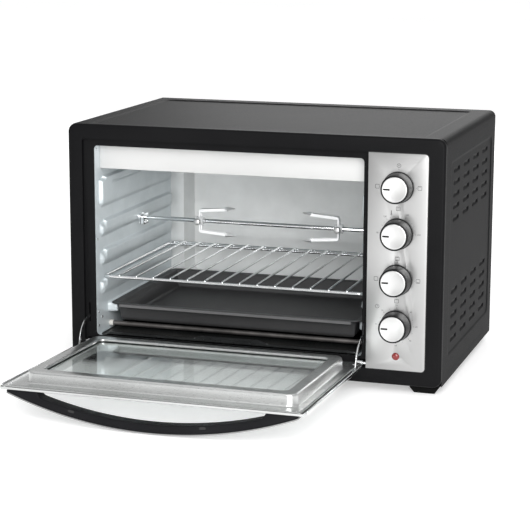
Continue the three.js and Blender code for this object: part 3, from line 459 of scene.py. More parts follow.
# a pressed sheet: a grid raised by rise(u, v), a thickness deep, closed round its border
def pressed(us, vs, rise, thickness, turn):
    u, v = np.meshgrid(us, vs, indexing="ij")
    height = rise(u, v)
    rows, columns = u.shape
    points = []
    for layer in (height, height - thickness):
        points += [turn(a, b, c) for a, b, c in zip(u.ravel(), v.ravel(), layer.ravel())]
    under = rows * columns
    faces = []
    for i in range(rows - 1):
        for j in range(columns - 1):
            a = i * columns + j
            quad = (a, a + columns, a + columns + 1, a + 1)
            faces.append(quad)
            faces.append(tuple(under + k for k in reversed(quad)))
    border = ([(i * columns, (i + 1) * columns) for i in range(rows - 1)]
              + [((i + 1) * columns - 1, (i + 2) * columns - 1) for i in range(rows - 1)]
              + [(j, j + 1) for j in range(columns - 1)]
              + [((rows - 1) * columns + j, (rows - 1) * columns + j + 1) for j in range(columns - 1)])
    faces += [(a, b, under + b, under + a) for a, b in border]
    return points, faces


def newObject(name, shape):
    points, faces = shape
    mesh = bpy.data.meshes.new(name)
    mesh.from_pydata([place(p) for p in points], [], faces)
    grid = bmesh.new()
    grid.from_mesh(mesh)
    bmesh.ops.remove_doubles(grid, verts=grid.verts, dist=1e-6)
    bmesh.ops.dissolve_degenerate(grid, edges=grid.edges, dist=1e-7)
    bmesh.ops.recalc_face_normals(grid, faces=grid.faces)
    grid.to_mesh(mesh)
    grid.free()
    made = bpy.data.objects.new(name, mesh)
    bpy.context.scene.collection.objects.link(made)
    return made


# takes an object's modifiers into its mesh
def settle(made):
    seen = bpy.context.evaluated_depsgraph_get()
    mesh = bpy.data.meshes.new_from_object(made.evaluated_get(seen), depsgraph=seen)
    old = made.data
    made.modifiers.clear()
    made.data = mesh
    mesh.name = made.name
    bpy.data.meshes.remove(old)


def cutAway(made, cutters):
    tools = [newObject("cutter", cutter) for cutter in cutters]
    for tool in tools:
        cut = made.modifiers.new("cut", "BOOLEAN")
        cut.operation, cut.solver, cut.object = "DIFFERENCE", "EXACT", tool
    settle(made)
    for tool in tools:
        bpy.data.meshes.remove(tool.data)


def roundEdges(made, width, segments=3, above=32):
    bevel = made.modifiers.new("rounding", "BEVEL")
    bevel.width, bevel.segments = width * mm, segments
    bevel.limit_method, bevel.angle_limit = "ANGLE", math.radians(above)
    settle(made)


def addPiece(name, shape, material, body, stands=(), edge=None, cut=(), smooth=38):
    made = newObject(name, shape)
    if cut:
        cutAway(made, cut)
    if edge:
        roundEdges(made, edge)
    made.data.materials.clear()
    made.data.materials.append(material)
    made.data.shade_smooth()
    made.data.set_sharp_from_angle(angle=math.radians(smooth))
    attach(made, body)
    if stands:
        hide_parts(*stands)
    return made


# front frame: a moulding with a rounded rim, the door's sunken recess and the cavity's opening
frameLook = {"corner": 12, "edge": 4, "sideRail": 20.6, "topRail": 20.2, "bottomRail": 20, "ledge": 6,
             "recessCorner": 4, "openingCorner": 5.5, "rounding": 0.8, "headroom": 3, "overlap": 0.3,
             "shaftHole": 4.8, "lampHole": 4.3, "armSlot": (52.5, 79.5), "armSide": (0.4, 1.4),
             "pinHalf": 4.8, "pinSide": (2.6, 2)}
frameX0, frameX1, _, frameY1, frameZ0, frameZ1 = span("front_frame")
panelX0, panelX1, panelY0, panelY1, panelZ0, panelZ1 = span("control_panel")
leftWall, rightWall = span("cavity_left_wall"), span("cavity_right_wall")
recessRect = (frameX0 + frameLook["sideRail"], panelX0 - frameLook["overlap"], frameLook["bottomRail"],
              frameZ1 - frameLook["topRail"], frameLook["recessCorner"])
openingRect = (leftWall[0] + frameLook["overlap"], rightWall[1] - frameLook["overlap"], leftWall[4],
               leftWall[5] - frameLook["headroom"], frameLook["openingCorner"])
dials = ("function", "thermostat", "heat", "timer")
dialX = middle("knob_function")[0]
dialZ = {name: middle("knob_" + name)[2] for name in dials}
lampZ = middle("lamp_lens")[2]


def buildFrame(look):
    rim = (frameX0, frameX1, frameZ0, frameZ1, look["corner"])
    turns = [math.radians(angle) for angle in range(0, 91, 15)]
    sections = [(rim, frameY1)]
    edge = look["edge"]
    sections += [(grow(rim, -edge * (1 - math.cos(t))), edge * (1 - math.sin(t))) for t in turns]
    sections += [(recessRect, 0), (recessRect, look["ledge"]), (openingRect, look["ledge"]),
                 (openingRect, frameY1)]
    through = (-1, frameY1 + 1)
    holes = [drill(look["shaftHole"], -1, 10, (dialX, 0, z), inwards, 24) for z in dialZ.values()]
    holes.append(drill(look["lampHole"], -1, 10, (dialX, 0, lampZ), inwards, 24))
    for side, sign in (("left", 1), ("right", -1)):
        armX = span("hinge_arm_" + side)[0 if sign > 0 else 1]
        pinX = span("hinge_pin_" + side)
        away, beside = look["armSide"]
        holes.append(box(sorted((armX - sign * away, armX + sign * beside)), through, look["armSlot"]))
        away, beyond = look["pinSide"]
        inner = pinX[1] + beyond if sign > 0 else pinX[0] - beyond
        holes.append(box(sorted((armX - sign * away, inner)), through,
                         (hingeZ - look["pinHalf"], hingeZ + look["pinHalf"])))
    addPiece("frontFrameMoulding", skin(sections, standing, loop=True, steps=10), frameBlack, "cabinet",
             ["front_frame"], edge=look["rounding"], cut=holes)


buildFrame(frameLook)
print("front frame moulded")


# control panel: brushed plate, square beside the door and rounded on its right
panelLook = {"corner": 5, "seat": 0.9, "rounding": 0.25, "shaftHole": 4.8, "lampHole": 4.2}


def panelOutline(out):
    x0, x1, z0, z1 = panelX0 - out, panelX1 + out, panelZ0 - out, panelZ1 + out
    corner = panelLook["corner"] + out
    right = [point for point in roundRect((x0, x1, z0, z1, corner), 10) if point[0] > (x0 + x1) / 2]
    low = [point for point in right if point[1] < (z0 + z1) / 2]
    high = [point for point in right if point[1] > (z0 + z1) / 2]
    return [(x0, z0), *low, *high, (x0, z1)]


def buildPanel(look):
    holes = [drill(look["shaftHole"], -3, 3, (dialX, 0, z), inwards, 32) for z in dialZ.values()]
    holes.append(drill(look["lampHole"], -3, 3, (dialX, 0, lampZ), inwards, 24))
    addPiece("controlPlate", slab(panelOutline(0), panelY0, panelY1, standing), brushedSteel, "cabinet",
             ["control_panel"], edge=look["rounding"], cut=holes)
    # a black strip a little wider than the plate, set behind it: painted shadow in the gap between plate and frame
    seat = [(max(a, panelX0 - 0.2), b) for a, b in panelOutline(look["seat"])]
    addPiece("controlPlateShadowGap", slab(seat, panelY1 + 0.02, -0.02, standing), gasketBlack, "cabinet",
             cut=holes)


buildPanel(panelLook)


# dials: tapered black body with a flared foot, bright cap and a black pointer
dialLook = {"foot": 2.2, "taper": 2.3, "capGap": 0.3, "capProud": 0.28, "pointerInset": 1.6,
            "pointerLength": 8.8, "pointerWidth": 2.3, "pointerHeight": 0.45}


def buildDial(name, look):
    x0, x1, front, back, z0, z1 = span("knob_" + name)
    centre = ((x0 + x1) / 2, back, (z0 + z1) / 2)
    length, base = back - front, (x1 - x0) / 2
    tip = base - look["taper"]
    cap = (span("knob_cap_" + name)[1] - span("knob_cap_" + name)[0]) / 2
    seat = cap + look["capGap"]
    body = turned([(0, 0), (base - 0.9, 0), (base - 0.25, 0.25), (base, 0.9), (base, look["foot"]),
                   (base - 0.35, look["foot"] + 0.55), (base - 0.9, look["foot"] + 0.9),
                   (tip + 0.35, length - 1.6), (tip + 0.1, length - 0.7), (tip - 0.25, length - 0.2),
                   (tip - 0.6, length), (seat + 0.15, length), (seat, length - 0.15), (seat, length - 1.1),
                   (0, length - 1.1)], centre, toUser, 96)
    addPiece("dialBody_" + name, body, knobBlack, name + "_dial", ["knob_" + name])
    face = length + look["capProud"]
    disc = turned([(0, length - 0.8), (cap, length - 0.8), (cap, face - 0.4), (cap - 0.12, face - 0.14),
                   (cap - 0.45, face), (cap - 1.2, face), (cap - 1.5, face - 0.1), (0, face - 0.18)],
                  centre, toUser, 96)
    addPiece("dialCap_" + name, disc, knobSilver, name + "_dial", ["knob_cap_" + name])
    start, z, half = centre[0] - cap + look["pointerInset"], centre[2], look["pointerWidth"] / 2
    mark = (start, start + look["pointerLength"], z - half, z + half, 0.5)
    faceY = back - face
    pointer = skin([(mark, faceY + 0.3), (mark, faceY - look["pointerHeight"] + 0.15),
                    (grow(mark, -0.15), faceY - look["pointerHeight"])], standing, steps=4)
    addPiece("dialPointer_" + name, pointer, knobBlack, name + "_dial")


for dialName in dials:
    buildDial(dialName, dialLook)
print("panel and dials fitted")

# indicator lamp: a red lens in a thin bezel
lampLook = {"bezel": 0.9, "crown": 1.6}


def buildLamp(look):
    x0, x1, front, back = span("lamp_lens")[:4]
    radius = (x1 - x0) / 2
    inner = radius - look["bezel"]
    start, tip = panelY0 - 0.05, -front
    arc = [math.radians(angle) for angle in range(0, 91, 10)]
    dome = [(inner * math.cos(a), tip - look["crown"] + look["crown"] * math.sin(a)) for a in arc[:-1]]
    lens = turned([(0, -back), (3.9, -back), (3.9, -start), (radius, -start), (radius, -start + 0.5),
                   (radius - 0.35, -start + 0.9), (inner, -start + 0.9), *dome, (0, tip)],
                  (dialX, 0, lampZ), toUser, 48)
    addPiece("lampLens", lens, lampRed, "cabinet", ["lamp_lens"])


buildLamp(lampLook)


# printing on the panel: numbers, ticks and plain picture signs in dark ink
printLook = {"ink": 0.05, "line": 0.5, "numberSize": 3, "tick": 1.6, "tickStart": 23, "signTick": 1,
             "numberRadius": 27.2, "signSize": 5.6, "signRadius": 28.2, "clock": (-26, 24.5),
             "thermometer": (-9, 27.5), "bulb": 1.1}
inkBack = panelY0 + 0.01
inkFront = panelY0 - printLook["ink"]


def stroke(start, end, width=printLook["line"]):
    (a0, b0), (a1, b1) = start, end
    length = math.hypot(a1 - a0, b1 - b0)
    na, nb = -(b1 - b0) / length * width / 2, (a1 - a0) / length * width / 2
    outline = [(a0 + na, b0 + nb), (a0 - na, b0 - nb), (a1 - na, b1 - nb), (a1 + na, b1 + nb)]
    return slab(outline, inkBack, inkFront, standing)


def ringSign(a, b, half, corner, width=printLook["line"]):
    outer = (a - half, a + half, b - half, b + half, corner)
    inner = grow(outer, -width)
    return skin([(outer, inkBack), (outer, inkFront), (inner, inkFront), (inner, inkBack)], standing,
                loop=True, steps=6)


def ringDial(a, b, angle, radius):
    turn = math.radians(angle)
    return a + radius * math.sin(turn), b + radius * math.cos(turn)


def tick(name, angle, radius, length):
    a, b = dialX, dialZ[name]
    return stroke(ringDial(a, b, angle, radius), ringDial(a, b, angle, radius + length))


def printed(text, a, b, size):
    data = bpy.data.curves.new("number", "FONT")
    data.body, data.size, data.extrude = text, size * mm, printLook["ink"] / 2 * mm
    data.align_x, data.align_y, data.resolution_u = "CENTER", "CENTER", 3
    drawn = bpy.data.objects.new("number", data)
    bpy.context.scene.collection.objects.link(drawn)
    seen = bpy.context.evaluated_depsgraph_get()
    mesh = bpy.data.meshes.new_from_object(drawn.evaluated_get(seen), depsgraph=seen)
    depth = (inkBack + inkFront) / 2
    points = [(a + v.co.x / mm, depth - v.co.z / mm, b + v.co.y / mm) for v in mesh.vertices]
    faces = [tuple(polygon.vertices) for polygon in mesh.polygons]
    bpy.data.objects.remove(drawn)
    bpy.data.meshes.remove(mesh)
    return points, faces


# a sign: an outline with bars or a fan for the way the oven heats
def sign(a, b, kind, look):
    half = look["signSize"] / 2
    parts = [ringSign(a, b, half, half if kind in ("fan", "clock") else 0.9)]
    reach = half * 0.55
    if kind in ("top", "both", "spit"):
        parts.append(stroke((a - reach, b + reach), (a + reach, b + reach)))
    if kind in ("low", "both", "spit"):
        parts.append(stroke((a - reach, b - reach), (a + reach, b - reach)))
    if kind == "spit":
        parts.append(stroke((a - reach, b), (a + reach, b)))
    if kind == "fan":
        parts += [stroke((a, b), ringDial(a, b, angle, reach)) for angle in (0, 120, 240)]
    if kind == "clock":
        parts += [stroke((a, b), (a, b + reach)), stroke((a, b), (a + reach * 0.7, b))]
    return parts


def buildPrinting(look):
    parts = []
    signsAt = {"function": (("plain", 270), ("fan", 0), ("top", 90), ("spit", 180)),
               "heat": (("plain", 270), ("both", 0), ("low", 90), ("top", 180))}
    for name, signs in signsAt.items():
        for kind, angle in signs:
            a, b = ringDial(dialX, dialZ[name], angle, look["signRadius"])
            parts += sign(a, b, kind, look)
            parts.append(tick(name, angle, look["tickStart"], look["signTick"]))
    scales = {"thermostat": (range(90, 231, 10), 270, 180, (90, 130, 180, 230)),
              "timer": (range(0, 61, 5), 270, 270, (0, 10, 20, 30, 40, 50, 60))}
    for name, (steps, start, sweep, named) in scales.items():
        for i, value in enumerate(steps):
            angle = start + sweep * i / (len(steps) - 1)
            length = look["tick"] if value in named else look["tick"] * 0.5
            parts.append(tick(name, angle, look["tickStart"], length))
            if value in named:
                radius = look["numberRadius"] + (0.9 if value > 99 else 0)
                at = ringDial(dialX, dialZ[name], angle, radius)
                parts.append(printed(str(value), *at, look["numberSize"]))
    across, up = look["clock"]
    parts += sign(dialX + across, dialZ["timer"] + up, "clock", look)
    across, up = look["thermometer"]
    a, b, bulb = dialX + across, dialZ["thermostat"] + up, look["bulb"]
    parts += [ringSign(a, b - 2 * bulb, bulb, bulb), stroke((a, b - 1.2), (a, b + 3), 0.9)]
    addPiece("panelPrinting", joined(*parts), inkGrey, "cabinet")


buildPrinting(printLook)
print("panel printed")


# outer wrap: one sheet over the top and both sides, with pressed fields and louvres
wrapLook = {"sheet": 0.8, "corner": 9, "topField": (-238, 233, 20, 321), "fieldCorner": 10, "fieldDepth": 1.6,
            "fieldStep": 5, "sideField": (40, 320, 34, 296), "sideDepth": 1.2, "louvreLength": 40,
            "louvreHeight": 7, "louvreDepth": 2.2, "louvrePitch": (64.6, 16.45), "louvreColumns": 4,
            "louvreRows": 5, "louvreStart": (80, 215.4), "lowerStart": (80, 51.5), "louvreDraft": 2.6,
            "sideDraft": 3, "slotLength": 15, "slotHeight": 3.2, "slotInset": 3.2, "slotProud": 0.12,
            "slotSunk": 0.9}


def louvrePlaces(look):
    places = []
    for start, base in (look["louvreStart"], look["lowerStart"]):
        for column in range(look["louvreColumns"]):
            for row in range(look["louvreRows"]):
                places.append((start + column * look["louvrePitch"][0], base + row * look["louvrePitch"][1]))
    return places


def buildWrap(look):
    x0, x1, y0, y1, z0, z1 = span("outer_wrap")
    corner = look["corner"]
    sideHeight = z1 - corner - z0
    arc = corner * math.pi / 2
    topWidth = x1 - x0 - 2 * corner
    total = 2 * sideHeight + 2 * arc + topWidth

    # along the section, from the bottom of the right side over the top to the bottom of the left
    def sectionAt(s):
        if s <= sideHeight:
            return (x1, z0 + s), (1, 0)
        s -= sideHeight
        if s <= arc:
            turn = s / corner
            out = (math.cos(turn), math.sin(turn))
            return (x1 - corner + corner * out[0], z1 - corner + corner * out[1]), out
        s -= arc
        if s <= topWidth:
            return (x1 - corner - s, z1), (0, 1)
        s -= topWidth
        if s <= arc:
            turn = math.pi / 2 + s / corner
            out = (math.cos(turn), math.sin(turn))
            return (x0 + corner + corner * out[0], z1 - corner + corner * out[1]), out
        return (x0, z1 - corner - (s - arc)), (-1, 0)

    topStart = sideHeight + arc
    field = look["topField"]
    topEdges = [topStart + x1 - corner - field[1], topStart + x1 - corner - field[0]]
    places = louvrePlaces(look)
    rowsZ = sorted({z for _, z in places})
    sideRows = [z - z0 for z in rowsZ]
    sideEdges = [look["sideField"][2] - z0, look["sideField"][3] - z0]
    bends = [start + arc * i / 8 for start in (sideHeight, topStart + topWidth) for i in range(9)]
    rowLines = gridLines(0, sideHeight, 12, sideRows, reach=4.2, fine=1.05)
    edgeLines = gridLines(0, sideHeight, 12, sideEdges, reach=4, fine=1.5)
    across = np.concatenate([gridLines(0, total, 12, topEdges, reach=6, fine=1.5), rowLines, total - rowLines,
                             edgeLines, total - edgeLines, bends])
    across = np.unique(np.round(across, 2))
    across = across[np.concatenate([[True], np.diff(across) > 0.35])]
    columns = sorted({y for y, _ in places})
    ends = [y + sign * look["louvreLength"] / 2 for y in columns for sign in (-1, 1)]
    back = gridLines(y0, y1, 14, [field[2], field[3], look["sideField"][0], look["sideField"][1], *ends],
                     reach=6, fine=1.5)

    def rise(s, y):
        height = np.zeros_like(s)
        x = x1 - corner - (s - topStart)
        onTop = (s > topStart) & (s < topStart + topWidth)
        top = distanceTo(x, y, (*field, look["fieldCorner"]))
        height = np.where(onTop, look["fieldDepth"] * -stamped(top, look["fieldStep"]), height)
        z = np.where(s < sideHeight, z0 + s, z0 + total - s)
        onSide = (s < sideHeight) | (s > total - sideHeight)
        side = distanceTo(y, z, (*look["sideField"], look["fieldCorner"]))
        pressedIn = -look["sideDepth"] * stamped(side, look["sideDraft"])
        for atY, atZ in places:
            half, tall = look["louvreLength"] / 2, look["louvreHeight"] / 2
            dimple = distanceTo(y, z, (atY - half, atY + half, atZ - tall, atZ + tall, tall))
            pressedIn = pressedIn - look["louvreDepth"] * stamped(dimple, look["louvreDraft"])
        return np.where(onSide, pressedIn, height)

    def onWrap(s, y, height):
        (x, z), (outX, outZ) = sectionAt(s)
        return x + outX * height, y, z + outZ * height

    addPiece("outerWrap", pressed(across, back, rise, look["sheet"], onWrap), wrapBlack, "cabinet",
             ["outer_wrap"], smooth=60)
    # a black insert at the rear of each louvre: painted shade standing in for the open slot
    slots = []
    for sign, x in ((1, x1), (-1, x0)):
        for atY, atZ in places:
            y = atY + look["louvreLength"] / 2 - look["slotLength"] / 2 - look["slotInset"]
            half, tall = look["slotLength"] / 2, look["slotHeight"] / 2
            floor = x - sign * (look["sideDepth"] + look["louvreDepth"])
            outside, inside = floor + sign * look["slotProud"], floor - sign * look["slotSunk"]
            rect = (y - half, y + half, atZ - tall, atZ + tall, tall)
            slots.append(skin([(rect, outside), (rect, inside)], sideways, steps=4))
    addPiece("louvreSlotShade", joined(*slots), gasketBlack, "cabinet")


buildWrap(wrapLook)
print("wrap pressed")


# cavity side walls: plated sheet with stamped runners, their front ends notched to guide the racks
wallLook = {"sheet": 0.8, "depth": 5.4, "draft": 3, "underDraft": 6.4, "start": 12, "rear": 8, "corner": 5,
            "notch": (13, 4.2), "chamfer": 7, "grooveDepth": 1.6, "padHeight": 24.1, "topPadExtra": 20.3,
            "padGap": 14.4, "spitGap": 5.8, "ledgeDrop": 2, "ledgeHeight": 14.6, "ledgeDepth": 14,
            "heaterHole": 4.6, "driveHole": 8}
heaters = ("lower_front", "lower_rear", "upper_front", "upper_rear")
bearing = span("spit_bearing")
spitY, spitZ = ((Vector(joints["spit_spin"]["pos_m"]) - zero) / mm)[1:]
trayHigh = span("baking_tray")[5]


# four pads above the tray's ledge, the third level with the spit and the top one taller
def runnerPads(look, ledgeTop):
    first = ledgeTop + look["padGap"]
    pitch = (spitZ - look["spitGap"] - first) / 2
    lows = [first + level * pitch for level in range(4)]
    return [(low, low + look["padHeight"] + (look["topPadExtra"] if low == lows[-1] else 0)) for low in lows]


def buildSideWall(name, sign, look):
    x0, x1, y0, y1, z0, z1 = span("cavity_" + name + "_wall")
    inner = x0 + look["sheet"] if sign > 0 else x1 - look["sheet"]
    ledgeTop = trayHigh - look["ledgeDrop"]
    pads = runnerPads(look, ledgeTop)
    ledge = (y0 + 38, y1 - 10, ledgeTop - look["ledgeHeight"], ledgeTop, 4)
    front, rear = y0 + look["start"], y1 - look["rear"]
    ys = gridLines(y0, y1, 9, [front + 2, front + look["notch"][0], rear, ledge[0]], reach=5, fine=0.9)
    edges = [z for pad in pads for z in pad]
    zs = gridLines(z0, z1, 7, edges + [ledge[2], ledge[3], edges[-1] - 11, edges[-1] + 6],
                   reach=5, fine=0.9)

    def rise(y, z):
        height = np.zeros_like(y)
        for low, high in pads:
            away = distanceTo(y, z, (front, rear, low, high, look["corner"]))
            long, tall = look["notch"]
            notch = distanceTo(y, z, (front - 12, front + long, high - tall, high + 6, 3))
            away = np.maximum(away, -notch)
            away = np.maximum(away, (front + low + look["chamfer"] - y - z) / math.sqrt(2))
            under = np.clip((z - low) / look["underDraft"], 0, 1)
            height = np.maximum(height, look["depth"] * np.minimum(stamped(away, look["draft"]), under))
        away = distanceTo(y, z, ledge)
        height = np.maximum(height, look["ledgeDepth"] * stamped(away, 1.6))
        top = pads[3][1]
        groove = distanceTo(y, z, (front + 34, rear - 20, top - 13.5, top - 9.5, 2))
        dash = distanceTo(y, z, (front + 3, front + 16, top - 5.5, top - 1, 2))
        return height - look["grooveDepth"] * (stamped(groove, 1.5) + stamped(dash, 1.5))

    def onWall(y, z, height):
        return inner + sign * height, y, z

    cut = []
    for heater in heaters:
        heaterY, heaterZ = middle("heater_" + heater)[1:]
        cut.append(drill(look["heaterHole"], -6, 6, (inner, heaterY, heaterZ), toRight, 24))
    if sign < 0:
        cut.append(drill(look["driveHole"], -10, 10, (inner, spitY, spitZ), toRight, 32))
    addPiece("cavityWall_" + name, pressed(ys, zs, rise, look["sheet"], onWall), platedSteel, "cabinet",
             ["cavity_" + name + "_wall"], cut=cut, smooth=75)
    # rivets along the front flange and below the runners
    edgeY = y0 + 5
    spots = ((edgeY, z0 + 12), (edgeY, z0 + 31), (y0 + 18, z0 + 22), (edgeY, (z0 + z1) / 2), (edgeY, z1 - 9))
    profile = [(0, -0.4), (1.9, -0.4), (1.9, 0.25), (1.4, 0.8), (0.7, 1.05), (0, 1.1)]
    heads = [turned(profile, (inner, y, z), (sign, 0, 0), 20) for y, z in spots]
    addPiece("wallRivets_" + name, joined(*heads), chromeWire, "cabinet")


buildSideWall("left", 1, wallLook)
buildSideWall("right", -1, wallLook)
print("side walls stamped")


# cavity back with its deep recess, and the bright header plate
backLook = {"sheet": 0.8, "recessInset": (21.8, 21.8, 27.1, 28.1), "corner": 14, "taper": 4, "rounding": 2.4}
headerLook = {"sheet": 0.8, "turnBack": 1.8, "bend": 2.6}


def buildBack(look):
    x0, x1, y0, y1, z0, z1 = span("cavity_back")
    left, right, sill, head = look["recessInset"]
    plate = (x0, x1, z0, z1, 1)
    recess = (x0 + left, x1 - right, z0 + sill, z1 - head, look["corner"])
    sheet, taper = look["sheet"], look["taper"]
    sections = [(grow(recess, -taper), y1 - sheet), (recess, y0), (plate, y0), (plate, y0 + sheet),
                (grow(recess, sheet), y0 + sheet), (grow(recess, sheet - taper), y1)]
    addPiece("cavityBackPressing", skin(sections, standing, steps=8), backSteel, "cabinet",
             ["cavity_back"], edge=look["rounding"], smooth=50)


def buildHeader(look):
    x0, x1, y0, y1, z0, z1 = span("cavity_header")
    sheet, turnBack, radius = look["sheet"], look["turnBack"], look["bend"]
    outline = [(y0, z0 + 0.6), (y0 + 0.2, z0 + 0.15), (y0 + 0.6, z0), (y0 + sheet, z0 + 0.2)]
    outline += [(y0 + sheet, z1 - sheet - turnBack), (y0 + sheet + 0.5, z1 - sheet - 0.5),
                (y0 + sheet + turnBack, z1 - sheet), (y1, z1 - sheet), (y1, z1)]
    arc = [math.radians(angle) for angle in range(90, 181, 15)]
    outline += [(y0 + radius + radius * math.cos(a), z1 - radius + radius * math.sin(a)) for a in arc]
    # the header takes its toned copy of the brushed steel, painted shade
    addPiece("headerPlate", slab(outline, x0, x1, sideways), headerShadedSteel, "cabinet",
             ["cavity_header"])


buildBack(backLook)
buildHeader(headerLook)
print("cavity back and header fitted")


# heating elements: dark tubes with ribbed ceramic ends and terminal pins
heaterLook = {"tube": 3.25, "ceramic": 4.2, "ceramicLength": 10, "rib": 0.5, "ribs": 3, "pin": 4}


def buildHeater(name, look):
    x0, x1, y0, y1, z0, z1 = span("heater_" + name)
    y, z, pin = (y0 + y1) / 2, (z0 + z1) / 2, look["pin"]
    start, end = x0 + pin, x1 - pin
    radius, low, high = look["tube"], start + 3, end - 3
    profile = [(0, low), (radius - 0.3, low), (radius, low + 0.3), (radius, high - 0.3), (radius - 0.3, high),
               (0, high)]
    tube = turned(profile, (0, y, z), toRight, 24)
    addPiece("heaterTube_" + name, tube, heaterSteel, "cabinet", ["heater_" + name])
    ends = []
    outer, groove, length = look["ceramic"], look["ceramic"] - look["rib"], look["ceramicLength"]
    profile = [(0, 0), (outer - 0.6, 0), (outer, 0.5)]
    for rib in range(look["ribs"]):
        at = 1.6 + rib * 2.6
        profile += [(outer, at), (groove, at + 0.4), (groove, at + 1.2), (outer, at + 1.6)]
    profile += [(outer, length - 0.6), (outer - 0.6, length), (0, length)]
    for at, sign in ((start, 1), (end, -1)):
        ends.append(turned(profile, (at, y, z), (sign, 0, 0), 24))
    addPiece("heaterCeramics_" + name, joined(*ends), ceramicWhite, "cabinet")
    terminal = [(0, 0), (1.2, 0), (1.6, 0.4), (1.6, pin + 0.5), (0, pin + 0.5)]
    pins = [turned(terminal, (at, y, z), (sign, 0, 0), 16) for at, sign in ((x0, 1), (x1, -1))]
    addPiece("heaterPins_" + name, joined(*pins), chromeWire, "cabinet")


for heaterName in heaters:
    buildHeater(heaterName, heaterLook)
print("heaters fitted")


# wire rack: round border wire, bars front to back whose ends hook over it, and a second rear wire
rackLook = {"border": 2.3, "bar": 1.6, "corner": 9, "pitch": 25.2, "rearGap": 12, "bend": 2.4}


def buildRack(look):
    x0, x1, y0, y1, z0, z1 = span("wire_rack")
    border, bar = look["border"], look["bar"]
    low = z0 + border
    rect = (x0 + border, x1 - border, y0 + border + 0.1, y1 - border - 0.1, look["corner"])
    parts = [wire(ringPath(rect, low), border, 14, closed=True)]
    rearY = rect[3] - look["rearGap"]
    parts.append(wire([(rect[0], rearY, low), (rect[1], rearY, low)], border * 0.9, 12))
    high = z1 - bar
    count = int((rect[1] - rect[0] - 2 * border) / look["pitch"])
    for i in range(count):
        x = (rect[0] + rect[1]) / 2 + (i - (count - 1) / 2) * look["pitch"]
        corners = [(x, rect[2] - 0.2, high - 3.2), (x, rect[2] - 0.2, high), (x, rect[3] + 0.2, high),
                   (x, rect[3] + 0.2, high - 3.6)]
        parts.append(wire(bentPath(corners, look["bend"], 5), bar, 10))
    addPiece("rackWires", joined(*parts), chromeWire, "rack", ["wire_rack"], smooth=60)


buildRack(rackLook)
print("rack bent")


# baking tray: deep-drawn pan with a wide flat rim turned down at its edge
trayLook = {"rim": 9, "corner": 14, "sheet": 0.8, "floorFillet": 5, "wallSlope": 3.5, "lip": 4.2}


def buildTray(look):
    x0, x1, y0, y1, z0, z1 = span("baking_tray")
    outer = (x0, x1, y0, y1, look["corner"])
    rim, sheet, fillet = look["rim"], look["sheet"], look["floorFillet"]
    top, floor = z1 - 0.6, z0 + sheet
    foot = -rim - look["wallSlope"]
    profile = [(foot - fillet - 8, floor)]
    for i in range(7):
        turn = math.radians(15 * i)
        profile.append((foot - fillet * (1 - math.sin(turn)), floor + fillet * (1 - math.cos(turn))))
    profile += [(-rim - 0.9, top - 1.2), (-rim - 0.5, top - 0.4), (-rim + 0.4, top), (-1.6, top + 0.5),
                (-0.7, top + 0.6), (-0.2, top + 0.35), (0, top - 0.1), (-0.1, top - 0.6), (-0.5, top - 0.8)]
    under = [(-1.4, top - sheet + 0.5), (-rim + 0.4, top - sheet), (-rim - 0.9, top - sheet - 1.2)]
    for i in reversed(range(7)):
        turn = math.radians(15 * i)
        under.append((foot - sheet * 0.6 - fillet * (1 - math.sin(turn)),
                      floor - sheet + fillet * (1 - math.cos(turn))))
    under.append((foot - fillet - 8, floor - sheet))
    sections = [(grow(outer, by), height) for by, height in profile + under]
    # the front edge is turned down into a stiff lip; its lighter finish, a copy of the dark enamel, is painted
    # sheen
    fall, inset = look["lip"], look["corner"] + 1
    face, behind = y0 + 0.1, y0 + 0.9
    curl = [(face, top - fall), (y0 + 0.45, top - fall - 0.35), (behind, top - fall), (behind, top - 0.9),
            (behind, top - 0.4), (face, top - 0.2)]
    lip = slab(curl, x0 + inset, x1 - inset, sideways)
    addPiece("bakingPan", skin(sections, lying, steps=10), trayEnamel, "tray",
             ["baking_tray"], smooth=60)
    addPiece("panLip", lip, panLipSheen, "tray")


buildTray(trayLook)


# crumb tray: shallow plate with a hemmed front lip and a raised pull tab
crumbLook = {"sheet": 0.8, "rimHeight": 2.4, "lip": 0.9, "lipHeight": 5.6, "lipInset": 8, "tabHeight": 4.5,
             "tabHalf": (43, 52), "tabShift": 6, "hem": 0.6}


def buildCrumbTray(look):
    x0, x1, y0, y1, z0 = span("crumb_tray")[:5]
    sheet = look["sheet"]
    plate = (x0, x1, y0, y1, 2.8)
    inner = grow(plate, -sheet)
    rim = z0 + look["rimHeight"]
    sections = [(grow(inner, -2), z0 + sheet), (grow(inner, -0.6), z0 + sheet + 0.3),
                (inner, z0 + sheet + 0.9), (inner, rim), (plate, rim), (plate, z0 + 0.5),
                (grow(plate, -0.5), z0)]
    parts = [skin(sections, lying, steps=6)]
    top = z0 + look["lipHeight"]
    tabTop = top + look["tabHeight"]
    cx = (x0 + x1) / 2 + look["tabShift"]
    narrow, wide = look["tabHalf"]
    left, right = x0 + look["lipInset"], x1 - look["lipInset"]
    outline = [(left, z0), (x1, z0), (x1, top - 3), (right, top), (cx + wide, top), (cx + narrow, tabTop),
               (cx - narrow, tabTop), (cx - wide, top), (left + 6, top), (left, top - 4)]
    parts.append(slab(outline, y0, y0 + look["lip"], standing))
    # the hem is a rolled bead along the lip's top edge; the bead is real, and its bright chrome finish against the
    # dark plate is a painted highlight
    hem = look["hem"]
    route = [(x1 - 0.8, z0 + 1), (x1 - 0.8, top - 3), (right, top - hem), (cx + wide, top - hem),
             (cx + narrow, tabTop - 0.8), (cx - narrow, tabTop - 0.8), (cx - wide, top - hem),
             (left + 6, top - hem), (left + hem, top - 4)]
    bead = bentPath([(x, y0 + hem, z) for x, z in route], 3, 5)
    # the plate takes the darkened finish, painted shade
    addPiece("crumbPlate", joined(*parts), crumbShadedSteel, "crumbs", ["crumb_tray"])
    addPiece("crumbHemHighlight", wire(bead, hem, 10), chromeWire, "crumbs")


buildCrumbTray(crumbLook)
print("trays drawn")


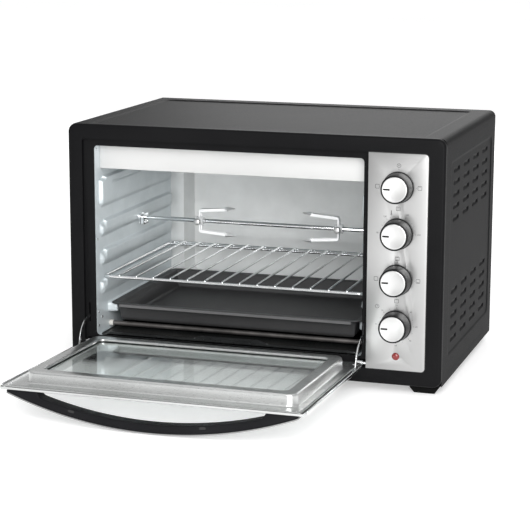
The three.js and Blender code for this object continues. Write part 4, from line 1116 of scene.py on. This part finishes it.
# door: pressed pan and liner with a raised ring round the window, drawn closed
doorLook = {"thickness": 4.5, "armClearance": 0.4, "heel": 5.5, "top": 282.5, "liftRing": 15.5,
            "lipDrop": 2.8, "sheet": 0.8, "panSheet": 1, "panRim": 3.4, "flangeInset": 0.8, "ringFoot": 38,
            "ringHead": 22, "ringCorner": 13, "strip": 16.5, "endStrip": 18.5, "windowCorner": 7,
            "ringInset": (14, 12), "ringEdge": (2.3, 3.2), "lipEdge": 1.5, "glass": 4, "glassLap": 6,
            "seal": 0.7, "gap": 0.3, "knuckle": 10, "knuckleRadius": (2.35, 3.8), "trimFoot": 16,
            "trimHead": 12}
panX0, panX1 = span("door_pan")[:2]
linerX0, linerX1 = span("door_liner")[:2]
outOfDoor = Vector(onDoor(0, 1, 0)) - Vector(onDoor(0, 0, 0))
innerFace = frameLook["ledge"] - doorLook["armClearance"] - hingeY
outerFace = innerFace - doorLook["thickness"]
ringTop = innerFace + doorLook["liftRing"]
lipBottom = ringTop - doorLook["lipDrop"]
glassTop = lipBottom - doorLook["seal"] - 2 * doorLook["gap"]
glassBottom = glassTop - doorLook["glass"]
ringRect = (openingRect[0] + doorLook["ringInset"][0], openingRect[1] - doorLook["ringInset"][1],
            doorLook["ringFoot"], doorLook["top"] - doorLook["ringHead"], doorLook["ringCorner"])
windowRect = (ringRect[0] + doorLook["strip"], ringRect[1] - doorLook["strip"],
              ringRect[2] + doorLook["endStrip"], ringRect[3] - doorLook["endStrip"],
              doorLook["windowCorner"])


def buildDoorPan(look):
    rim = (panX0, panX1, look["heel"], look["top"], 3)
    sheet, upstand = look["panSheet"], glassBottom - look["gap"]
    low, high = outerFace, outerFace + look["panRim"]
    inner = grow(rim, -look["sheet"])
    sections = [(grow(rim, -1.2), low), (grow(rim, -0.5), low + 0.25), (grow(rim, -0.12), low + 0.7),
                (rim, low + 1.4), (rim, high), (inner, high), (inner, low + sheet + 0.5),
                (grow(inner, -0.5), low + sheet), (grow(windowRect, sheet + 1.2), low + sheet),
                (grow(windowRect, sheet + 0.3), low + sheet + 0.3),
                (grow(windowRect, sheet), low + sheet + 1.2), (grow(windowRect, sheet), upstand),
                (windowRect, upstand), (windowRect, low + 1.6), (grow(windowRect, 0.4), low + 0.5),
                (grow(windowRect, 1.5), low)]
    addPiece("doorPan", skin(sections, doorFace, loop=True, steps=8), linerSteel, "door",
             ["door_pan"], smooth=50)
    # rolled hinge sleeves on the pan's rear edge
    sleeves = []
    bore, outer = look["knuckleRadius"]
    length, foot = look["knuckle"], look["heel"] + 0.6
    for start in (panX0 + 0.5, panX1 - 0.5 - length):
        sleeve = [(bore, 0), (outer - 0.3, 0), (outer, 0.3), (outer, length - 0.3), (outer - 0.3, length),
                  (bore, length), (bore, 0)]
        sleeves.append(turned(sleeve, onDoor(start, 0, 0), toRight, 32))
        web = [(low + 0.1, 1), (low + 1.5, 1), (low + 1.5, foot), (low + 0.1, foot)]
        sleeves.append(slab(web, start + 0.2, start + length - 0.2, acrossDoor))
    addPiece("hingeSleeves", joined(*sleeves), chromeWire, "door")


def buildLiner(look):
    flange = (linerX0, linerX1, look["heel"] + look["flangeInset"], look["top"] - look["flangeInset"], 3)
    face, sheet = innerFace, look["sheet"]
    sections = [(grow(flange, -0.3), face - sheet), (flange, face - sheet * 0.7), (flange, face - 0.3),
                (grow(flange, -0.35), face)]
    # a low rolled bead just inside the flange's edge
    sections += [(grow(flange, -1.4), face), (grow(flange, -2.1), face + 0.35),
                 (grow(flange, -3.0), face + 0.35), (grow(flange, -3.8), face)]
    # the ring's foot, its rounded outer edge, and the rounded edge down to the window
    sections += [(grow(ringRect, out), height) for out, height in
                 ((2.2, face), (1.1, face + 0.25), (0.4, face + 0.9), (0.0, face + 2.2))]
    reach, fall = look["ringEdge"]
    sections += [(grow(ringRect, -0.95), ringTop - fall)]
    for i in range(1, 7):
        turn = math.radians(15 * i)
        sections.append((grow(ringRect, -0.95 - reach * (1 - math.cos(turn))),
                         ringTop - fall + fall * math.sin(turn)))
    sections += [(grow(windowRect, 2.4), ringTop)]
    for i in range(1, 6):
        turn = math.radians(18 * i)
        sections.append((grow(windowRect, look["lipEdge"] * (1 - math.sin(turn))),
                         ringTop - look["lipEdge"] * (1 - math.cos(turn))))
    sections += [(windowRect, lipBottom), (grow(windowRect, sheet), lipBottom),
                 (grow(windowRect, sheet), ringTop - 2.2), (grow(windowRect, 2.6), ringTop - sheet),
                 (grow(ringRect, -3.6), ringTop - sheet), (grow(ringRect, -2), ringTop - 3.4),
                 (grow(ringRect, -sheet), face + 1.6), (grow(ringRect, 0.4), face - sheet)]
    addPiece("doorLiner", skin(sections, doorFace, loop=True, steps=12), linerSteel, "door",
             ["door_liner"], smooth=50)


def buildWindow(look):
    seat = (*grow(windowRect, look["glassLap"])[:4], 8)
    top = glassTop + look["gap"]
    seal = [(grow(seat, -0.2), top), (seat, top + 0.25), (grow(seat, -0.2), top + look["seal"]),
            (grow(windowRect, 1.2), top + look["seal"]), (grow(windowRect, 0.9), top + look["seal"] / 2),
            (grow(windowRect, 1.2), top)]
    addPiece("windowSeal", skin(seal, doorFace, loop=True, steps=10), gasketBlack, "door",
             ["glass_gasket"])
    pane = [(grow(seat, -0.5), glassBottom), (seat, glassBottom + 0.5), (seat, glassTop - 0.5),
            (grow(seat, -0.5), glassTop)]
    addPiece("windowPane", skin(pane, doorFace, steps=10), windowGlass, "door",
             ["window_glass"])


def buildTrims(look):
    for side in ("left", "right"):
        x0, x1 = span("side_trim_" + side)[:2]
        low, high = look["heel"] + look["trimFoot"], look["top"] - look["trimHead"]
        rect = (x0, x1, outerFace - 0.3, innerFace + 0.1, 1.1)
        sections = [(grow(rect, -0.7), low), (grow(rect, -0.25), low + 0.2), (rect, low + 0.8),
                    (rect, high - 0.8), (grow(rect, -0.25), high - 0.2), (grow(rect, -0.7), high)]
        addPiece("sideTrim_" + side, skin(sections, onDoor, steps=6), chromeWire, "door",
                 ["side_trim_" + side])
    # flush screws: two at each of the liner's front corners and one near each hinge
    caps = []
    front = [(0, -0.1), (2.5, -0.1), (2.45, 0.1), (2.2, 0.25), (1.2, 0.32), (0, 0.33)]
    rear = [(0, -0.1), (2.1, -0.1), (2.05, 0.1), (1.7, 0.28), (0, 0.33)]
    for x, sign in ((linerX0, 1), (linerX1, -1)):
        for inset, up in ((5.5, 7), (4.6, 20)):
            spot = onDoor(x + sign * inset, innerFace, look["top"] - up)
            caps.append(turned(front, spot, outOfDoor, 24))
        spot = onDoor(x + sign * 6, innerFace, look["heel"] + 14)
        caps.append(turned(rear, spot, outOfDoor, 20))
    addPiece("linerScrews", joined(*caps), chromeWire, "door")


buildDoorPan(doorLook)
buildLiner(doorLook)
buildWindow(doorLook)
buildTrims(doorLook)
print("door pressed and glazed")


# handle: a bow between two pads with a bright strip along its outside
handleLook = {"halfLength": 190, "pad": 41, "depth": 18, "thickness": 10.2, "strip": 2, "reach": 39.8,
              "sagitta": 35.4, "shift": 2, "rounding": 1.7, "clips": (-0.53, 0.36), "clipLength": 8}


# a place on a bow, from -1 at its left end to 1 at its right: x, depth and the bow's angle there
def bowAt(look, depth, half, sagitta, share):
    radius = (half ** 2 + sagitta ** 2) / (2 * sagitta)
    angle = share * math.asin(half / radius)
    middleX = (panX0 + panX1) / 2 + look["shift"]
    return middleX + radius * math.sin(angle), depth + radius * (1 - math.cos(angle)), angle


def bowLine(look, depth, half, sagitta, steps=56):
    return [bowAt(look, depth, half, sagitta, 2 * i / steps - 1)[:2] for i in range(steps + 1)]


def buildHandle(look):
    low, high = doorLook["top"] - look["depth"], doorLook["top"]
    middleX = (panX0 + panX1) / 2 + look["shift"]
    foot = outerFace - doorLook["gap"]
    half, pad = look["halfLength"], look["pad"]
    stripOut = outerFace - look["reach"]
    gripOut = stripOut + look["strip"] + doorLook["gap"]
    inner = half - pad - 3
    innerSag = look["sagitta"] * (inner / half) ** 2
    inside = bowLine(look, gripOut + look["thickness"], inner, innerSag)
    outside = bowLine(look, gripOut, half, look["sagitta"])

    # the inside corner of each pad runs round into the bow
    rightRoot = bentPath([(*inside[-4], 0), (*inside[-1], 0), (middleX + half - pad, foot, 0)], 9, 7)
    leftRoot = [(2 * middleX - p[0], p[1]) for p in rightRoot]
    outline = outside + [(middleX + half, foot), (middleX + half - pad, foot)]
    outline += [(p[0], p[1]) for p in reversed(rightRoot[:-1])] + list(reversed(inside[4:-4])) + leftRoot[:-1]
    outline += [(middleX - half + pad, foot), (middleX - half, foot)]
    addPiece("handleGrip", slab(outline, low, high, onDoor), gripBlack, "door",
             ["handle_grip"], edge=look["rounding"], smooth=50)
    strip = bowLine(look, stripOut, half, look["sagitta"])
    strip += reversed(bowLine(look, stripOut + look["strip"], half, look["sagitta"]))
    addPiece("handleStrip", slab(strip, low, high, onDoor), stripSteel, "door",
             ["handle_trim"], edge=0.4, smooth=50)
    # two dark clips across the grip's near face
    clips = []
    middleDepth = gripOut + look["thickness"] * 0.72
    for share in look["clips"]:
        x, depth, angle = bowAt(look, middleDepth, half, look["sagitta"], share)
        corners = roundRect((-look["clipLength"] / 2, look["clipLength"] / 2, -1.6, 1.6, 1.2), 6)
        cos, sin = math.cos(angle), math.sin(angle)
        tilted = [(x + a * cos - b * sin, depth + a * sin + b * cos) for a, b in corners]
        clips.append(slab(tilted, high - 1.5, high + 0.35, onDoor))
    addPiece("handleClips", joined(*clips), gasketBlack, "door")


buildHandle(handleLook)
print("handle bowed")


# hinges: crescent arms that swing through the frame's slots, and the pins they turn on
hingeLook = {"radius": 35, "width": 5, "thick": 1, "sweep": (0.5, 118), "pin": 2, "rivet": 2.6,
             "tabWidth": 11, "tabReach": 5, "tabThick": 0.9}


def buildHinge(side, inward, look):
    x0, x1 = span("hinge_arm_" + side)[:2]
    x = x0 if inward > 0 else x1 - look["thick"]
    inner, outer = look["radius"] - look["width"] / 2, look["radius"] + look["width"] / 2
    start, end = (math.radians(angle) for angle in look["sweep"])
    turns = [start + (end - start) * i / 48 for i in range(49)]
    outline = [(outer * math.sin(t), outer * math.cos(t)) for t in turns]
    outline += [(inner * math.sin(t), inner * math.cos(t)) for t in reversed(turns)]
    foot = outerFace + 1 + doorLook["gap"]
    outline += [(foot, inner), (foot, outer)]
    addPiece("hingeArm_" + side, slab(outline, x, x + look["thick"], acrossDoor), chromeWire, "door",
             ["hinge_arm_" + side], edge=0.28, smooth=50)
    if inward > 0:
        tabX = (x, x0 + look["tabWidth"])
    else:
        tabX = (x1 - look["tabWidth"], x + look["thick"])
    tabRect = (*tabX, inner - look["tabReach"], outer + look["tabReach"], 2)
    face = foot + look["tabThick"]
    tab = skin([(tabRect, foot), (tabRect, face)], doorFace, steps=5)
    head = [(0, -0.1), (look["rivet"], -0.1), (look["rivet"] - 0.5, 0.7), (0, 0.75)]
    rivets = [turned(head, onDoor(sum(tabX) / 2 + inward, face, look["radius"] + up), outOfDoor, 20)
              for up in (-4, 4)]
    addPiece("hingeTab_" + side, joined(tab, *rivets), platedSteel, "door")
    p0, p1 = span("hinge_pin_" + side)[:2]
    pin = turned([(0, 0), (look["pin"] - 0.5, 0), (look["pin"], 0.5), (look["pin"], p1 - p0 - 0.5),
                  (look["pin"] - 0.5, p1 - p0), (0, p1 - p0)], (p0, hingeY, hingeZ), toRight, 24)
    addPiece("hingePin_" + side, pin, chromeWire, "cabinet", ["hinge_pin_" + side])


buildHinge("left", 1, hingeLook)
buildHinge("right", -1, hingeLook)
print("hinges fitted")


# spit: a stepped rod with a squared end, in an open bearing on the left and a drive socket on the right
spitLook = {"rod": 3, "neck": 2.5, "journal": 2.6, "neckLength": 34, "square": 2.1, "squareLength": 10,
            "socketPlay": 0.3}


def buildSpit(look):
    x0, x1 = span("spit_rod")[:2]
    square = x1 - look["squareLength"]
    journalEnd = bearing[1] + 1
    step = journalEnd + look["neckLength"]
    rod, neck, journal = look["rod"], look["neck"], look["journal"]
    profile = [(0, x0), (journal - 0.6, x0), (journal, x0 + 0.6), (journal, journalEnd),
               (neck, journalEnd + 0.8), (neck, step), (rod, step + 0.8), (rod, square - 0.8), (neck, square),
               (0, square)]
    rodShape = turned(profile, (0, spitY, spitZ), toRight, 32)
    half = look["square"]
    end = (spitY - half, spitY + half, spitZ - half, spitZ + half, 0.35)
    key = skin([(end, square - 1), (end, x1 - 1), (grow(end, -0.8), x1)], sideways, steps=3)
    addPiece("spitRod", joined(rodShape, key), chromeWire, "spit", ["spit_rod"])
    s0, s1, sy0, sy1 = span("drive_socket")[:4]
    radius = (sy1 - sy0) / 2
    play = look["socketPlay"]
    room = half + play
    profile = [(0, 0), (radius - 0.9, 0), (radius, 0.9), (radius, s1 - s0), (0, s1 - s0)]
    socket = turned(profile, (s0, spitY, spitZ), toRight, 40)
    hole = box((s0 - 1, x1 + play), (spitY - room, spitY + room), (spitZ - room, spitZ + room))
    addPiece("driveSocket", socket, platedSteel, "spit", ["drive_socket"], cut=[hole])


bearingLook = {"sheet": 1.1, "seat": 2, "notch": 3.05, "shoulder": 0.9, "slope": 3.4, "earFold": 2.2,
               "earHeight": 3, "rivet": 1.7}


# a bent bracket: two notched cheeks joined by a floor, with turned-out ears and rivets
def buildBearing(look):
    x0, x1, y0, y1, z0, z1 = bearing
    half = (y1 - y0) / 2
    low, high, notch = z0 - spitZ, z1 - spitZ, look["notch"]
    shoulder, slope = notch + look["shoulder"], half - look["slope"]
    arc = [math.radians(angle) for angle in range(0, -181, -15)]
    seat = [(notch * math.cos(a), notch * math.sin(a)) for a in arc]
    cheek = [(-half, low), (half, low), (half, high - 5), (slope + 1, high - 1), (slope, high),
             (shoulder, high), (notch, high - 1.2), *seat, (-notch, high - 1.2), (-shoulder, high),
             (-slope, high), (-slope - 1, high - 1), (-half, high - 5)]
    outline = [(spitY + a, spitZ + b) for a, b in cheek]
    thick = look["sheet"]
    outerCheek = x1 - look["earFold"]
    parts = [slab(outline, x0 - look["seat"], x0 + thick, sideways),
             slab(outline, outerCheek - thick, outerCheek, sideways),
             box((x0, outerCheek), (y0, y1), (z0, z0 + thick))]
    rivet = [(0, 0), (look["rivet"], 0), (look["rivet"] - 0.3, 0.7), (0, 0.95)]
    for sign in (-1, 1):
        near = spitY + sign * (half - thick / 2)
        parts.append(box((x0, outerCheek), sorted((near - thick / 2, near + thick / 2)), (z0, z1 - 6)))
        ear = [(spitY + sign * a, spitZ + high - b) for a, b in
               ((shoulder, look["earHeight"]), (slope, look["earHeight"]), (slope, 0), (shoulder, 0))]
        parts.append(slab(ear, outerCheek - 0.2, x1 - 0.2, sideways))
        parts.append(turned(rivet, (outerCheek, spitY + sign * (half - 2.7), z0 + 3.1), toRight, 20))
    addPiece("bearingBracket", joined(*parts), chromeWire, "cabinet", ["spit_bearing"])


forkLook = {"hub": 6.5, "hubLength": 11, "groove": 1.1, "bore": 3.4, "sheet": 1.1, "width": 8.2,
            "flange": 4.6, "spread": 17, "bend": 4.2, "reach": 54, "splay": 4.5, "tip": 14, "barb": 2.3,
            "tipHeight": 3.3, "tipFlat": 1.2}
screwLook = {"shank": 2, "collar": 7, "head": 4.8, "ribs": 24, "rib": 0.26}


# a fork is one channel strip bent into a U round its hub: prongs that splay apart, with arrow tips
def buildFork(side, towards, look):
    hubX = middle("thumb_screw_" + side)[0]
    hub, length, bore = look["hub"], look["hubLength"], look["bore"]
    waist = hub - look["groove"]
    profile = [(bore, 0), (hub - 0.5, 0), (hub, 0.5), (hub, 1.6), (waist, 2.1), (waist, length - 2.1),
               (hub, length - 1.6), (hub, length - 0.5), (hub - 0.5, length), (bore, length), (bore, 0)]
    parts = [turned(profile, (hubX - length / 2, spitY, spitZ), toRight, 40)]
    half, sheet, flange = look["width"] / 2, look["sheet"], look["flange"]
    splay = math.radians(look["splay"])
    # the channel's section, across the strip and inwards from its outer face
    inside = half - sheet
    section = [(-half, -0.3), (-half + 0.4, 0), (half - 0.4, 0), (half, -0.3), (half, -flange + 0.3),
               (half - 0.3, -flange), (inside, -flange), (inside, -sheet), (-inside, -sheet),
               (-inside, -flange), (-half + 0.3, -flange), (-half, -flange + 0.3)]
    count = len(section)
    for up in (-1, 1):
        def onFork(along, across, out, up=up):
            return hubX + towards * along, spitY + across, spitZ + up * out

        # stations from the hub up the yoke, round the bend and out along the prong
        back, radius = -sheet / 2, look["bend"]
        bendStart = look["spread"] + sheet / 2 - radius
        stations = [(back, hub - 1.6, 0), (back, bendStart, 0)]
        for i in range(1, 7):
            turn = (math.pi / 2 - splay) * i / 6
            stations.append((back + radius * (1 - math.cos(turn)), bendStart + radius * math.sin(turn), turn))
        bendA, bendB, turn = stations[-1]
        run = look["reach"] - look["tip"] - bendA + 2
        stations.append((bendA + run, bendB + run * math.tan(splay), turn))
        points = []
        for i, (a, b, turn) in enumerate(stations):
            deepest = flange * (0.55 if i < 2 else 1)  # the yoke's flanges are shallower than the prong's
            narrow = 0.8 if i == len(stations) - 1 else 1
            for across, depth in section:
                depth = max(depth, -deepest)
                points.append(onFork(a - depth * math.cos(turn), across * narrow, b + depth * math.sin(turn)))
        faces = []
        for i in range(len(stations) - 1):
            for k in range(count):
                m = (k + 1) % count
                faces.append((i * count + k, i * count + m, (i + 1) * count + m, (i + 1) * count + k))
        faces.append(tuple(reversed(range(count))))
        faces.append(tuple((len(stations) - 1) * count + k for k in range(count)))
        parts.append((points, faces))
        # arrow tip: a wide flat barb that runs out to a point
        startA, startB = look["reach"] - look["tip"], bendB + (run - 2) * math.tan(splay) - 1.6
        wide, tall, flat = half + look["barb"], look["tipHeight"], look["tipFlat"]
        corners = ((-wide, 0), (-flat, tall), (flat, tall), (wide, 0), (flat, -tall), (-flat, -tall))
        tipPoints = [onFork(startA, b, startB + c) for b, c in corners]
        endA, endB = look["reach"], startB + math.tan(splay) * look["tip"]
        tipPoints += [onFork(endA, b, endB + c) for b, c in ((0.3, 0), (0, 0.3), (-0.3, 0), (0, -0.3))]
        tipFaces = [(0, 1, 2, 3, 4, 5), (9, 8, 7, 6), (1, 2, 7), (2, 3, 6, 7), (3, 4, 9, 6), (4, 5, 9),
                    (5, 0, 8, 9), (0, 1, 7, 8)]
        parts.append((tipPoints, tipFaces))
    addPiece("spitFork_" + side, joined(*parts), forkSteel, "fork_" + side + "_body",
             ["fork_" + side])


def buildThumbScrew(side, look):
    x0, x1, front, back, z0, z1 = span("thumb_screw_" + side)
    centre = ((x0 + x1) / 2, back, (z0 + z1) / 2)
    length = back - front
    head, shank, thread = look["head"], length - look["collar"], look["shank"]
    profile = [(0, 0), (thread - 0.3, 0), (thread, 0.3), (thread, shank - 0.6), (head - 1, shank - 0.6),
               (head - 0.5, shank), (head - 0.5, shank + 1.2), (head, shank + 1.7), (head, shank + 5.2),
               (head - 0.6, shank + 6.2), (head - 1.5, length - 0.2), (0, length)]
    addPiece("thumbScrew_" + side, turned(profile, centre, toUser, 48), knobSilver, "screw_" + side + "_body",
             ["thumb_screw_" + side])
    # knurling: fine ribs round the head
    ribs = []
    radius = head - 0.05
    for i in range(look["ribs"]):
        angle = 2 * math.pi * i / look["ribs"]
        x, z = centre[0] + radius * math.cos(angle), centre[2] + radius * math.sin(angle)
        ribs.append(wire([(x, back - shank - 2, z), (x, back - shank - 5, z)], look["rib"], 6))
    addPiece("screwKnurl_" + side, joined(*ribs), chromeWire, "screw_" + side + "_body")


buildSpit(spitLook)
buildBearing(bearingLook)
for forkSide, forkTowards in (("left", 1), ("right", -1)):
    buildFork(forkSide, forkTowards, forkLook)
    buildThumbScrew(forkSide, screwLook)
print("spit fitted")


# rear cover with its pressed bulge, vent slots and screws, the gland, the base pan and the feet
rearLook = {"sheet": 0.8, "bulge": 28, "taper": 9, "corner": 16, "bulgeRect": (-222, 173.5, 52, 292),
            "slot": (4, 30), "slotPitch": 32, "rowPitch": 96, "cordHole": 7.3, "screw": 3.2,
            "screwAt": (9, 10), "screwSpread": 90, "rounding": 3}


def buildRear(look):
    x0, x1, _, y1, z0, z1 = span("rear_cover")
    face = y1 - look["bulge"]
    sheet, taper = look["sheet"], look["taper"]
    plate = (x0, x1, z0, z1, 8)
    bulge = (*look["bulgeRect"], look["corner"])
    sections = [(grow(bulge, -taper - sheet), y1 - sheet), (grow(bulge, -sheet), face - sheet),
                (plate, face - sheet), (plate, face), (bulge, face), (grow(bulge, -taper), y1)]
    slots = []
    middleX = (openingRect[0] + openingRect[1]) / 2
    middleZ = (bulge[2] + bulge[3]) / 2
    wide, tall = look["slot"]
    for row in (-0.5, 0.5):
        for column in range(-4, 5):
            x, z = middleX + column * look["slotPitch"], middleZ + row * look["rowPitch"]
            rect = (x - wide / 2, x + wide / 2, z - tall / 2, z + tall / 2, wide / 2)
            slots.append(slab(roundRect(rect, 5), face + 1, y1 + 1, standing))
    glandX, _, glandZ = middle("cord_gland")
    slots.append(drill(look["cordHole"], -2, 2, (glandX, face, glandZ), inwards, 32))
    addPiece("rearCoverPressing", skin(sections, standing, steps=10), wrapBlack, "cabinet",
             ["rear_cover"], edge=look["rounding"], cut=[joined(*slots)], smooth=50)
    screws = []
    radius, (inset, up), spread = look["screw"], look["screwAt"], look["screwSpread"]
    profile = [(0, -0.3), (radius, -0.3), (radius, 0.5), (radius - 0.7, 1.3), (1.1, 1.8), (0.9, 1.1),
               (0, 1.1)]
    for x in (x0 + inset, (x0 + x1) / 2 - spread, (x0 + x1) / 2 + spread, x1 - inset):
        for z in (z0 + up, z1 - up):
            screws.append(turned(profile, (x, face, z), inwards, 24))
    addPiece("coverScrews", joined(*screws), platedSteel, "cabinet")
    bush = [(3.6, -4), (5.6, -8), (6.6, -8), (7, -7.4), (7, 0.3), (9.1, 0.3), (9.5, 0.8), (9.3, 2),
            (8.5, 3.6), (7.6, 4), (3.9, 4), (3.6, 3.6), (3.6, -4)]
    addPiece("cordBush", turned(bush, (glandX, face, glandZ), inwards, 40), footRubber, "cabinet",
             ["cord_gland"])


baseLook = {"sheet": 0.8, "corner": 3, "rib": 1.6, "ribHalf": 7, "ribInset": 40, "ribsAt": (0.22, 0.5, 0.78)}


def buildBase(look):
    x0, x1, y0, y1, z0, z1 = span("base_pan")
    us = gridLines(x0 + 1.5, x1 - 1.5, 16)
    ribs = [y0 + (y1 - y0) * share for share in look["ribsAt"]]
    half, inset = look["ribHalf"], look["ribInset"]
    vs = gridLines(y0 + 1.5, y1 - 1.5, 16, ribs, reach=9, fine=1.5)

    def rise(x, y):
        height = np.full_like(x, look["sheet"])
        for rib in ribs:
            away = distanceTo(x, y, (x0 + inset, x1 - inset, rib - half, rib + half, half))
            height = height + look["rib"] * stamped(away, 4)
        return height + z0

    plate = pressed(us, vs, rise, look["sheet"], lying)
    rim = (x0, x1, y0, y1, look["corner"])
    inner = grow(rim, -look["sheet"])
    wall = skin([(grow(rim, -1.6), z0), (grow(rim, -0.4), z0 + 0.3), (rim, z0 + 1.4), (rim, z1), (inner, z1),
                 (inner, z0 + 1.6), (grow(rim, -1.9), z0 + look["sheet"])], lying, loop=True, steps=6)
    addPiece("basePressing", joined(plate, wall), wrapBlack, "cabinet", ["base_pan"])
    for row in ("front", "rear"):
        for side in ("left", "right"):
            fx0, fx1, fy0, fy1, fz0, fz1 = span("foot_" + row + "_" + side)
            top = (fx0, fx1, fy0, fy1, 3.5)
            foot = [(grow(top, -6.6), fz0), (grow(top, -5.7), fz0 + 0.35), (grow(top, -5.2), fz0 + 1.2),
                    (grow(top, -0.35), fz1 - 3), (top, fz1 - 2), (top, fz1 - 0.5), (grow(top, -0.5), fz1)]
            addPiece("rubberFoot_" + row + "_" + side, skin(foot, lying, steps=6), footRubber, "cabinet",
                     ["foot_" + row + "_" + side])


buildRear(rearLook)
buildBase(baseLook)
print("rear cover, base and feet fitted")


# finishes for the CAD nodes that stay as they are
keptFinishes = {"frame_black": frameBlack, "body_black": wrapBlack, "handle_black": gripBlack,
                "brushed_steel": brushedSteel, "pressed_steel": linerSteel, "plated_steel": platedSteel,
                "chrome": chromeWire, "knob_black": knobBlack, "knob_silver": knobSilver,
                "dark_enamel": trayEnamel, "window_glass": windowGlass, "silicone": gasketBlack,
                "rubber": footRubber, "lamp_red": lampRed, "heater_steel": heaterSteel,
                "switch_plastic": switchCream}
slotOf = {part["node"]: part["material_slot"] for part in frame["record"]["subparts"]}
for nodeName, node in frame["nodes"].items():
    node.data.materials.clear()
    node.data.materials.append(keptFinishes[slotOf[nodeName]])
print("kept parts finished")


# studio: a wide pale floor, a soft dome, and softboxes low and high on the right and behind
studioLook = {"floorReach": 30000, "floorDepth": 10, "floorGlow": 0.42, "horizon": 0.42, "zenith": 0.85,
              "softboxes": {"low": ((1100, -2100, 420), (-80, 150, 140), 1300, 30),
                            "high": ((700, -1900, 1150), (-60, 200, 120), 1200, 34),
                            "rear": ((-300, 2600, 1000), (0, 200, 300), 1500, 18)}}


def buildStudio(look):
    reach = look["floorReach"]
    footDrop = -zero.z / mm
    depth = (footDrop - look["floorDepth"], footDrop)
    floor = newObject("studioFloor", box((-reach, reach), (-reach, reach), depth))
    pale = finish("floorPale", {"shade": (0.74, 0.74, 0.74), "tint": (0.78, 0.78, 0.78), "grain": 20,
                                "roughness": (0.7, 0.85), "cloud": 1, "specular": 0.1})
    shader = pale.node_tree.nodes["Principled BSDF"]
    shader.inputs["Emission Color"].default_value = (1, 1, 1, 1)
    shader.inputs["Emission Strength"].default_value = look["floorGlow"]
    floor.data.materials.append(pale)
    world = bpy.data.worlds.new("studio")
    world.use_nodes = True
    tree = world.node_tree
    sky = tree.nodes["Background"]
    where = tree.nodes.new("ShaderNodeTexCoord")
    parted = tree.nodes.new("ShaderNodeSeparateXYZ")
    tree.links.new(where.outputs["Generated"], parted.inputs["Vector"])
    tree.links.new(ranged(tree, parted.outputs["Z"], look["horizon"], look["zenith"], 0.0, 0.75),
                   sky.inputs["Strength"])
    sky.inputs["Color"].default_value = (1, 1, 1, 1)
    bpy.context.scene.world = world
    for name, (spot, aim, size, power) in look["softboxes"].items():
        data = bpy.data.lights.new(name + "Softbox", "AREA")
        data.shape, data.size, data.energy = "SQUARE", size * mm, power
        lamp = bpy.data.objects.new(name + "Softbox", data)
        bpy.context.scene.collection.objects.link(lamp)
        lamp.location = place(spot)
        lamp.rotation_mode = "QUATERNION"
        lamp.rotation_quaternion = (place(aim) - place(spot)).to_track_quat("-Z", "Y")
        lamp.visible_camera = False
    bpy.context.scene.view_settings.view_transform = "Standard"


buildStudio(studioLook)
print("studio lit")
